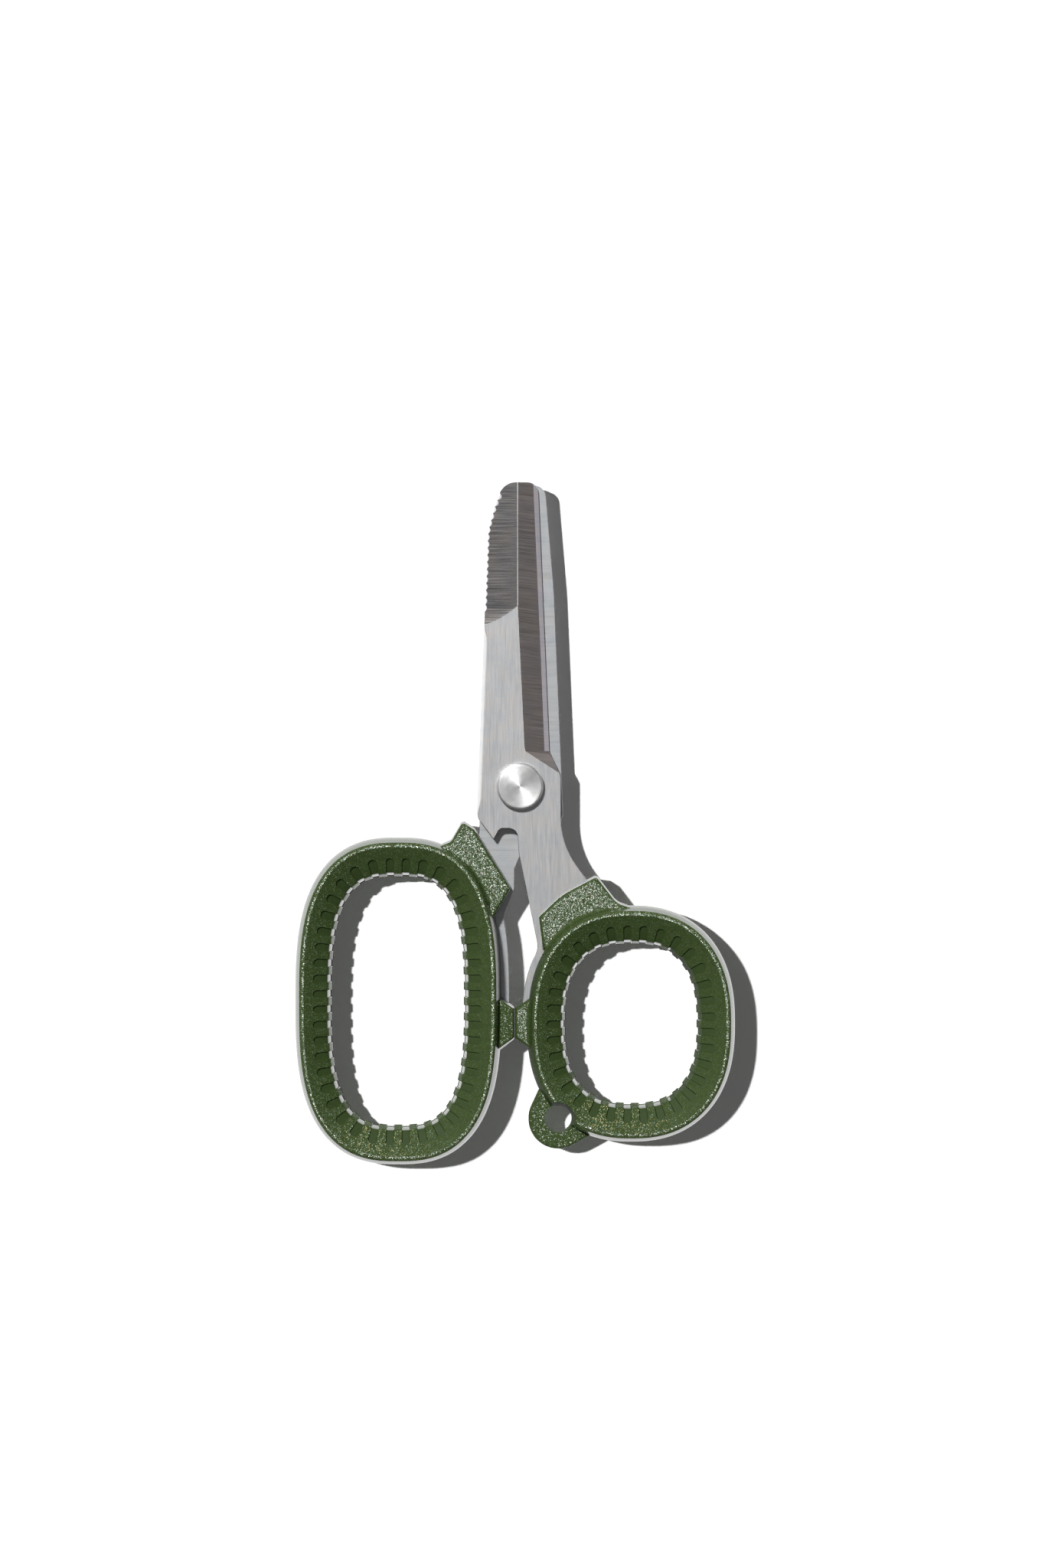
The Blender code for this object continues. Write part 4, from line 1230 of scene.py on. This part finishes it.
def add_eyelet(item, bow, handles):
    """Joins the lanyard tab to the thumb bow, bores it and flares the bore where it meets the ring."""
    centre = bow.at(handles.eyelet_turn, bow.band(handles.eyelet_turn) + handles.eyelet_standoff)
    rim = circle(centre, handles.eyelet_bore + handles.eyelet_rim, HOLE_STEPS)
    necks = []
    for swing in (-1, 1):
        turn = handles.eyelet_turn + swing * handles.eyelet_neck
        necks.append(bow.at(turn, bow.band(turn) - NECK_ROOT))
    reach = handles.eyelet_thickness / 2
    flat = hull([(x, y, 0.0) for x, y in np.concatenate((rim, necks))] + [(*centre, 1.0)])
    around = [vert.co.xy for vert in flat.verts if vert.co.z < 0.5]
    flat.free()
    around.sort(key=lambda point: math.atan2(point.y - centre[1], point.x - centre[0]))
    tab = slab(np.array([tuple(point) for point in around]), reach, handles.collar_round)
    combine(item, add_piece("eyelet_tab", tab, THUMB_HALF), "UNION")
    hole = circle(centre, handles.eyelet_bore, HOLE_STEPS)
    bore = prism(hole, -handles.thickness, handles.thickness)
    combine(item, add_piece("eyelet_bore", bore, THUMB_HALF), "DIFFERENCE")
    lip = circle(centre, handles.eyelet_bore + handles.eyelet_lip, HOLE_STEPS)
    for side in (-1, 1):
        points = [(x, y, side * reach) for x, y in hole]
        points += [(x, y, side * handles.thickness / 2) for x, y in lip]
        points += [(x, y, side * handles.thickness) for x, y in lip]
        combine(item, add_piece("eyelet_lip", hull(points), THUMB_HALF), "DIFFERENCE")


def sort_moulding(item, half, bow, handles):
    """Gives each face of a handle its finish: the order is that of the list in the handles' operator."""
    back = half.inverted()
    inner = handles.inner_edge / 2
    eyelet = bow.at(handles.eyelet_turn, bow.band(handles.eyelet_turn) + handles.eyelet_standoff)
    bore = handles.eyelet_bore + handles.eyelet_lip
    land = bow.bands[0] - handles.outer_draft - handles.crest_round - handles.crest_land
    slope = (handles.thickness / 2 - inner) / land
    stop = handles.stop_thickness / 2
    tab = handles.eyelet_thickness / 2
    for face in item.data.polygons:
        x, y, z = back @ face.center
        out = bow.outside(x, y)
        height = abs(z)
        if abs(face.normal.z) < WALL_NORMAL:
            lean = out + handles.inner_draft * (1 - height / inner)
            bored = bow is THUMB_BOW and math.dist((x, y), eyelet) < bore
            # The eyelet's bore and flare, and the thumb bow's pivot-side walls low down, take the darker
            # matt notch-floor finish as painted shade
            painted_shade = bored or bow is THUMB_BOW and y < -PAINTED_SHADE_FROM and face.normal.x < PAINTED_SHADE_NORMAL
            # Land walls take the flaked ring finish where they face the key lamp and the glossy hole-wall
            # finish elsewhere: light and shade painted in by the choice of finish
            lit = face.normal.x < -WALL_NORMAL or WALL_NORMAL < face.normal.y
            if painted_shade:
                face.material_index = NOTCH_FLOOR_AND_PAINTED_SHADE
            elif land < out:
                face.material_index = OUTER_WALL
            elif handles.grip_depth / 2 < lean:
                face.material_index = NOTCH_WALL
            else:
                face.material_index = RING if lit else HOLE_WALL
            continue
        below = inner + slope * out - height
        tops = (stop, tab) if bow is FINGER_BOW else (tab,)
        near = min(abs(height - top) for top in tops) < handles.collar_round / 4
        if handles.grip_depth / 2 < below and out < handles.grip_length:
            face.material_index = NOTCH_FLOOR_AND_PAINTED_SHADE
        elif FLAT_NORMAL < abs(face.normal.z) and not (land < out and near):
            on_crest = handles.thickness / 2 < height + handles.parting_bead
            face.material_index = CREST if on_crest else FLAT
        else:
            face.material_index = RING


def build_handle(name, node, body, half, bow, collar, turns, stop, settings, plastics):
    """Moulds one handle and puts it in place of its CAD node."""
    handles = settings.handles
    section = RingSection(handles)
    cover = settings.blades.gap / 2 + settings.blades.thickness + handles.collar_cover
    item = add_piece(name, grip_ring(bow, section, handles), half)
    thickness = handles.stop_thickness / 2
    for label, outline, reach in (
        ("collar", collar, cover),
        ("stop", stop_outline(bow, handles, stop), thickness),
    ):
        shape = slab(outline, reach, handles.collar_round, handles.collar_draft)
        combine(item, add_piece(f"{name}_{label}", shape, half), "UNION")
    valleys = valley(bow, section, np.radians(turns), cover, handles.valley)
    valleys += valley(bow, section, stop_turns(bow, handles, stop), thickness, handles.valley)
    for shape in valleys:
        combine(item, add_piece(name + "_valley", shape, half), "UNION")
    if bow is THUMB_BOW:
        add_eyelet(item, bow, handles)
    finish(item, plastics)
    sort_moulding(item, half, bow, handles)
    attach(item, body)
    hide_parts(node)
    return item


class SCISSORS_OT_handles(bpy.types.Operator):
    """Mould the finger handle and the thumb handle"""

    bl_idname = "scissors.handles"
    bl_label = "Handles"

    def execute(self, context):
        settings = context.scene.scissors
        handles = settings.handles
        plastics = [
            sparkling_plastic("ring plastic", handles, handles.ring_flakes, 0.8, 1.9),
            smooth_plastic("outer wall plastic", handles.body, handles.wall_roughness, 1.55, 0.6),
            # Also the land walls that face away from the key lamp: one side of the painted light and shade
            smooth_plastic("hole wall plastic", handles.body, handles.wall_roughness, 1.5),
            smooth_plastic("notch wall plastic", handles.body, 0.10, 1.6, 1.0),
            # Darker and matt: the notch floors, and painted shade on the walls that sort_moulding marks
            smooth_plastic("notch floor and painted shade plastic", scaled(handles.body, 0.92), 0.65, 1.33),
            sparkling_plastic("flat plastic", handles, handles.flat_flakes, 0.7, 2.25),
            sparkling_plastic("crest plastic", handles, handles.crest_flakes, 0.55, 2.6),
        ]
        gap = handles.stop_gap / 2
        build_handle(
            "thumb_handle_moulding", "thumb_handle", "thumb_half", THUMB_HALF, THUMB_BOW,
            collar_outline(THUMB_BOW, THUMB_COLLAR_TOE, THUMB_COLLAR_TOP, THUMB_COLLAR_TURNS),
            THUMB_VALLEY_TURNS, gap - handles.stop_offset, settings, plastics,
        )
        build_handle(
            "finger_handle_moulding", "finger_handle", "finger_half", FINGER_HALF, FINGER_BOW,
            collar_outline(FINGER_BOW, FINGER_COLLAR_TOE, FINGER_COLLAR_TOP, FINGER_COLLAR_TURNS),
            FINGER_VALLEY_TURNS, gap + handles.stop_offset, settings, plastics,
        )
        return {"FINISHED"}


def rounded_rim(flat, chamfer, end, side):
    """Profile of a turned rim from its flat end outwards, where the end faces one side."""
    rim = []
    for swing in CHAMFER_SWINGS:
        rim.append((flat + chamfer * math.sin(swing), end - side * chamfer * (1 - math.cos(swing))))
    return rim


class SCISSORS_OT_rivet(bpy.types.Operator):
    """Turn the rivet and its cap"""

    bl_idname = "scissors.rivet"
    bl_label = "Rivet and cap"

    def execute(self, context):
        settings = context.scene.scissors
        pivot = settings.pivot
        top = settings.blades.gap / 2 + settings.blades.thickness
        head = top + pivot.clearance
        face = head + pivot.head_height
        cap = top + 2 * pivot.clearance + pivot.washer_dish + pivot.washer_thickness
        tail = cap + pivot.cap_height - pivot.cap_floor - pivot.clearance
        steel = turned_material("turned steel", pivot.steel, pivot.roughness, 9.0)

        flat = pivot.head_radius - pivot.chamfer
        marks = np.arange(0.0, flat - pivot.ring_pitch, pivot.ring_pitch)
        rivet = [(0.0, -face)]
        for mark in marks[1:]:
            rivet.append((mark - pivot.ring_pitch / 2, -face + pivot.ring_depth))
            rivet.append((mark, -face))
        rivet += rounded_rim(flat, pivot.chamfer, -face, -1)
        rivet += [
            (pivot.head_radius, -head),
            (pivot.pin_radius, -head),
            (pivot.pin_radius, tail),
            (0.0, tail),
        ]
        item = add_piece("pivot_rivet_turned", turned(rivet), FINGER_HALF)
        finish(item, [steel])
        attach(item, "finger_half")
        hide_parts("pivot_rivet")

        bore = pivot.pin_radius + pivot.clearance
        closing = [
            (0.0, tail + pivot.clearance),
            (bore, tail + pivot.clearance),
            (bore, cap),
            (pivot.cap_radius, cap),
        ]
        flat = pivot.cap_radius - pivot.chamfer
        end = cap + pivot.cap_height
        closing += reversed(rounded_rim(flat, pivot.chamfer, end, 1))
        closing += [(flat * 0.5, end - pivot.ring_depth), (0.0, end)]
        item = add_piece("rivet_cap_turned", turned(closing), FINGER_HALF)
        finish(item, [steel])
        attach(item, "finger_half")
        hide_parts("rivet_cap")
        return {"FINISHED"}


class SCISSORS_OT_washers(bpy.types.Operator):
    """Finish the spring washer and the glide washer of the frame"""

    bl_idname = "scissors.washers"
    bl_label = "Washers"

    def execute(self, context):
        pivot = context.scene.scissors.pivot
        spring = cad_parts["tension_washer"]
        spring.data.materials.clear()
        spring.data.materials.append(turned_material("spring steel", pivot.spring, 0.4, 14.0))
        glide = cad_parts["blade_washer"]
        glide.data.materials.clear()
        glide.data.materials.append(polymer_material("glide polymer", pivot.polymer))
        return {"FINISHED"}


def aim(item, azimuth, height):
    """Turns a sun so that its light comes from a direction."""
    back = Vector((
        math.cos(azimuth) * math.cos(height),
        math.sin(azimuth) * math.cos(height),
        math.sin(height),
    ))
    item.rotation_mode = "QUATERNION"
    item.rotation_quaternion = back.to_track_quat("Z", "Y")
    item.location = back


def add_sun(name, strength, azimuth, height, softness):
    """A sun lamp of the studio."""
    lamp = bpy.data.lights.new(name, "SUN")
    lamp.energy = strength
    lamp.angle = softness
    item = bpy.data.objects.new(name, lamp)
    bpy.context.collection.objects.link(item)
    aim(item, azimuth, height)
    return item


def add_soft_box(brightness, width, height):
    """A square lamp straight above the part, given by its brightness."""
    lamp = bpy.data.lights.new("soft box", "AREA")
    lamp.size = width
    lamp.energy = brightness * math.pi * width ** 2
    item = bpy.data.objects.new("soft box", lamp)
    bpy.context.collection.objects.link(item)
    item.location = (0.0, 0.0, height)
    item.visible_camera = False
    return item


def floor_material(tint, shade):
    """Matt floor that keeps an even shadow, and that glossy pieces see as plain white."""
    made, tree, shader = new_material("floor")
    tree.nodes.remove(shader)
    white = (1.0, 1.0, 1.0, 1.0)
    matt = add_node(tree, "ShaderNodeBsdfDiffuse", {"Color": (*tint, 1.0)}).outputs["BSDF"]
    glow = add_node(tree, "ShaderNodeEmission", {"Color": white, "Strength": 1.0})
    lift = add_node(tree, "ShaderNodeEmission", {"Color": white, "Strength": shade})
    path = add_node(tree, "ShaderNodeLightPath").outputs
    shiny = maths(tree, "MAXIMUM", path["Is Glossy Ray"], path["Is Transmission Ray"])
    lifted = add_node(tree, "ShaderNodeAddShader", {0: matt, 1: lift.outputs["Emission"]})
    plain = add_node(tree, "ShaderNodeMixShader", {
        0: path["Is Camera Ray"], 1: matt, 2: lifted.outputs["Shader"],
    })
    seen = add_node(tree, "ShaderNodeMixShader", {
        0: maths(tree, "GREATER_THAN", shiny, path["Diffuse Depth"]),
        1: plain.outputs["Shader"],
        2: glow.outputs["Emission"],
    })
    feed(tree, tree.nodes["Material Output"], {"Surface": seen.outputs["Shader"]})
    return made


def studio_sky(scene):
    """A dark studio, with a pale horizon that glossy pieces see."""
    world = bpy.data.worlds.new("studio")
    world.use_nodes = True
    tree = world.node_tree
    parts = add_node(tree, "ShaderNodeSeparateXYZ", {"Vector": place_on(tree, "Generated")})
    sky = ramp(tree, parts.outputs["Z"], SKY)
    path = add_node(tree, "ShaderNodeLightPath").outputs
    shiny = maths(tree, "GREATER_THAN", path["Is Glossy Ray"], path["Diffuse Depth"])
    feed(tree, tree.nodes["Background"], {"Color": blended(tree, shiny, (*DARK_STUDIO, 1.0), sky)})
    scene.world = world


class SCISSORS_OT_stage(bpy.types.Operator):
    """Set the floor, the lamps, the sky and the camera"""

    bl_idname = "scissors.stage"
    bl_label = "Stage"

    def execute(self, context):
        scene = context.scene
        stage = scene.scissors.stage
        disc = bmesh.new()
        bmesh.ops.create_circle(disc, cap_ends=True, segments=FLOOR_STEPS, radius=stage.floor_radius)
        floor = add_piece("floor", disc, Matrix.Identity(4))
        floor.data.materials.append(floor_material(stage.floor, stage.floor_shade))

        key = add_sun("key", stage.key_level, stage.key_azimuth, stage.key_height, stage.key_angle)
        under = add_sun("floor lamp", stage.floor_level, stage.floor_azimuth, stage.floor_height,
                        stage.floor_angle)
        box = add_soft_box(stage.box_level, stage.box_size, stage.box_height)
        for lamp, state in ((key, "EXCLUDE"), (box, "EXCLUDE"), (under, "INCLUDE")):
            lit = bpy.data.collections.new(lamp.name + " lights")
            lit.objects.link(floor)
            lit.collection_objects[0].light_linking.link_state = state
            lamp.light_linking.receiver_collection = lit
        studio_sky(scene)

        camera = bpy.data.cameras.new("camera")
        camera.lens = camera.sensor_width * stage.distance / stage.view_height
        camera.clip_start = stage.distance / CLIP_RATIO
        camera.clip_end = stage.distance * CLIP_RATIO
        holder = bpy.data.objects.new("camera", camera)
        holder.location = (stage.aim_x, stage.aim_y, PIVOT.z + stage.distance)
        context.collection.objects.link(holder)
        scene.camera = holder
        scene.view_settings.view_transform = "Standard"
        return {"FINISHED"}


class SCISSORS_PT_panel(bpy.types.Panel):
    """Lists the pieces and the stage"""

    bl_label = "Compact craft scissors"
    bl_idname = "SCISSORS_PT_panel"
    bl_space_type = "VIEW_3D"
    bl_region_type = "UI"
    bl_category = "Scissors"

    def draw(self, context):
        for operator in OPERATORS:
            self.layout.operator(operator.bl_idname)


OPERATORS = (
    SCISSORS_OT_blades,
    SCISSORS_OT_handles,
    SCISSORS_OT_rivet,
    SCISSORS_OT_washers,
    SCISSORS_OT_stage,
)
GROUPS = (BladeSettings, HandleSettings, PivotSettings, StageSettings, ScissorsSettings)
CLASSES = (*GROUPS, *OPERATORS, SCISSORS_PT_panel)


def register():
    """Names each setting after its word in the code, and adds the classes and the scene's settings."""
    for group in GROUPS:
        for word, setting in group.__annotations__.items():
            setting.keywords["name"] = word.replace("_", " ").capitalize()
    for item in CLASSES:
        bpy.utils.register_class(item)
    bpy.types.Scene.scissors = PointerProperty(type=ScissorsSettings)


def unregister():
    """Removes the scene's settings and the classes."""
    del bpy.types.Scene.scissors
    for item in reversed(CLASSES):
        bpy.utils.unregister_class(item)


def main():
    """Registers the add-on and builds everything in order."""
    register()
    bpy.ops.scissors.blades()
    bpy.ops.scissors.handles()
    bpy.ops.scissors.rivet()
    bpy.ops.scissors.washers()
    bpy.ops.scissors.stage()


if __name__ == "__main__":
    main()
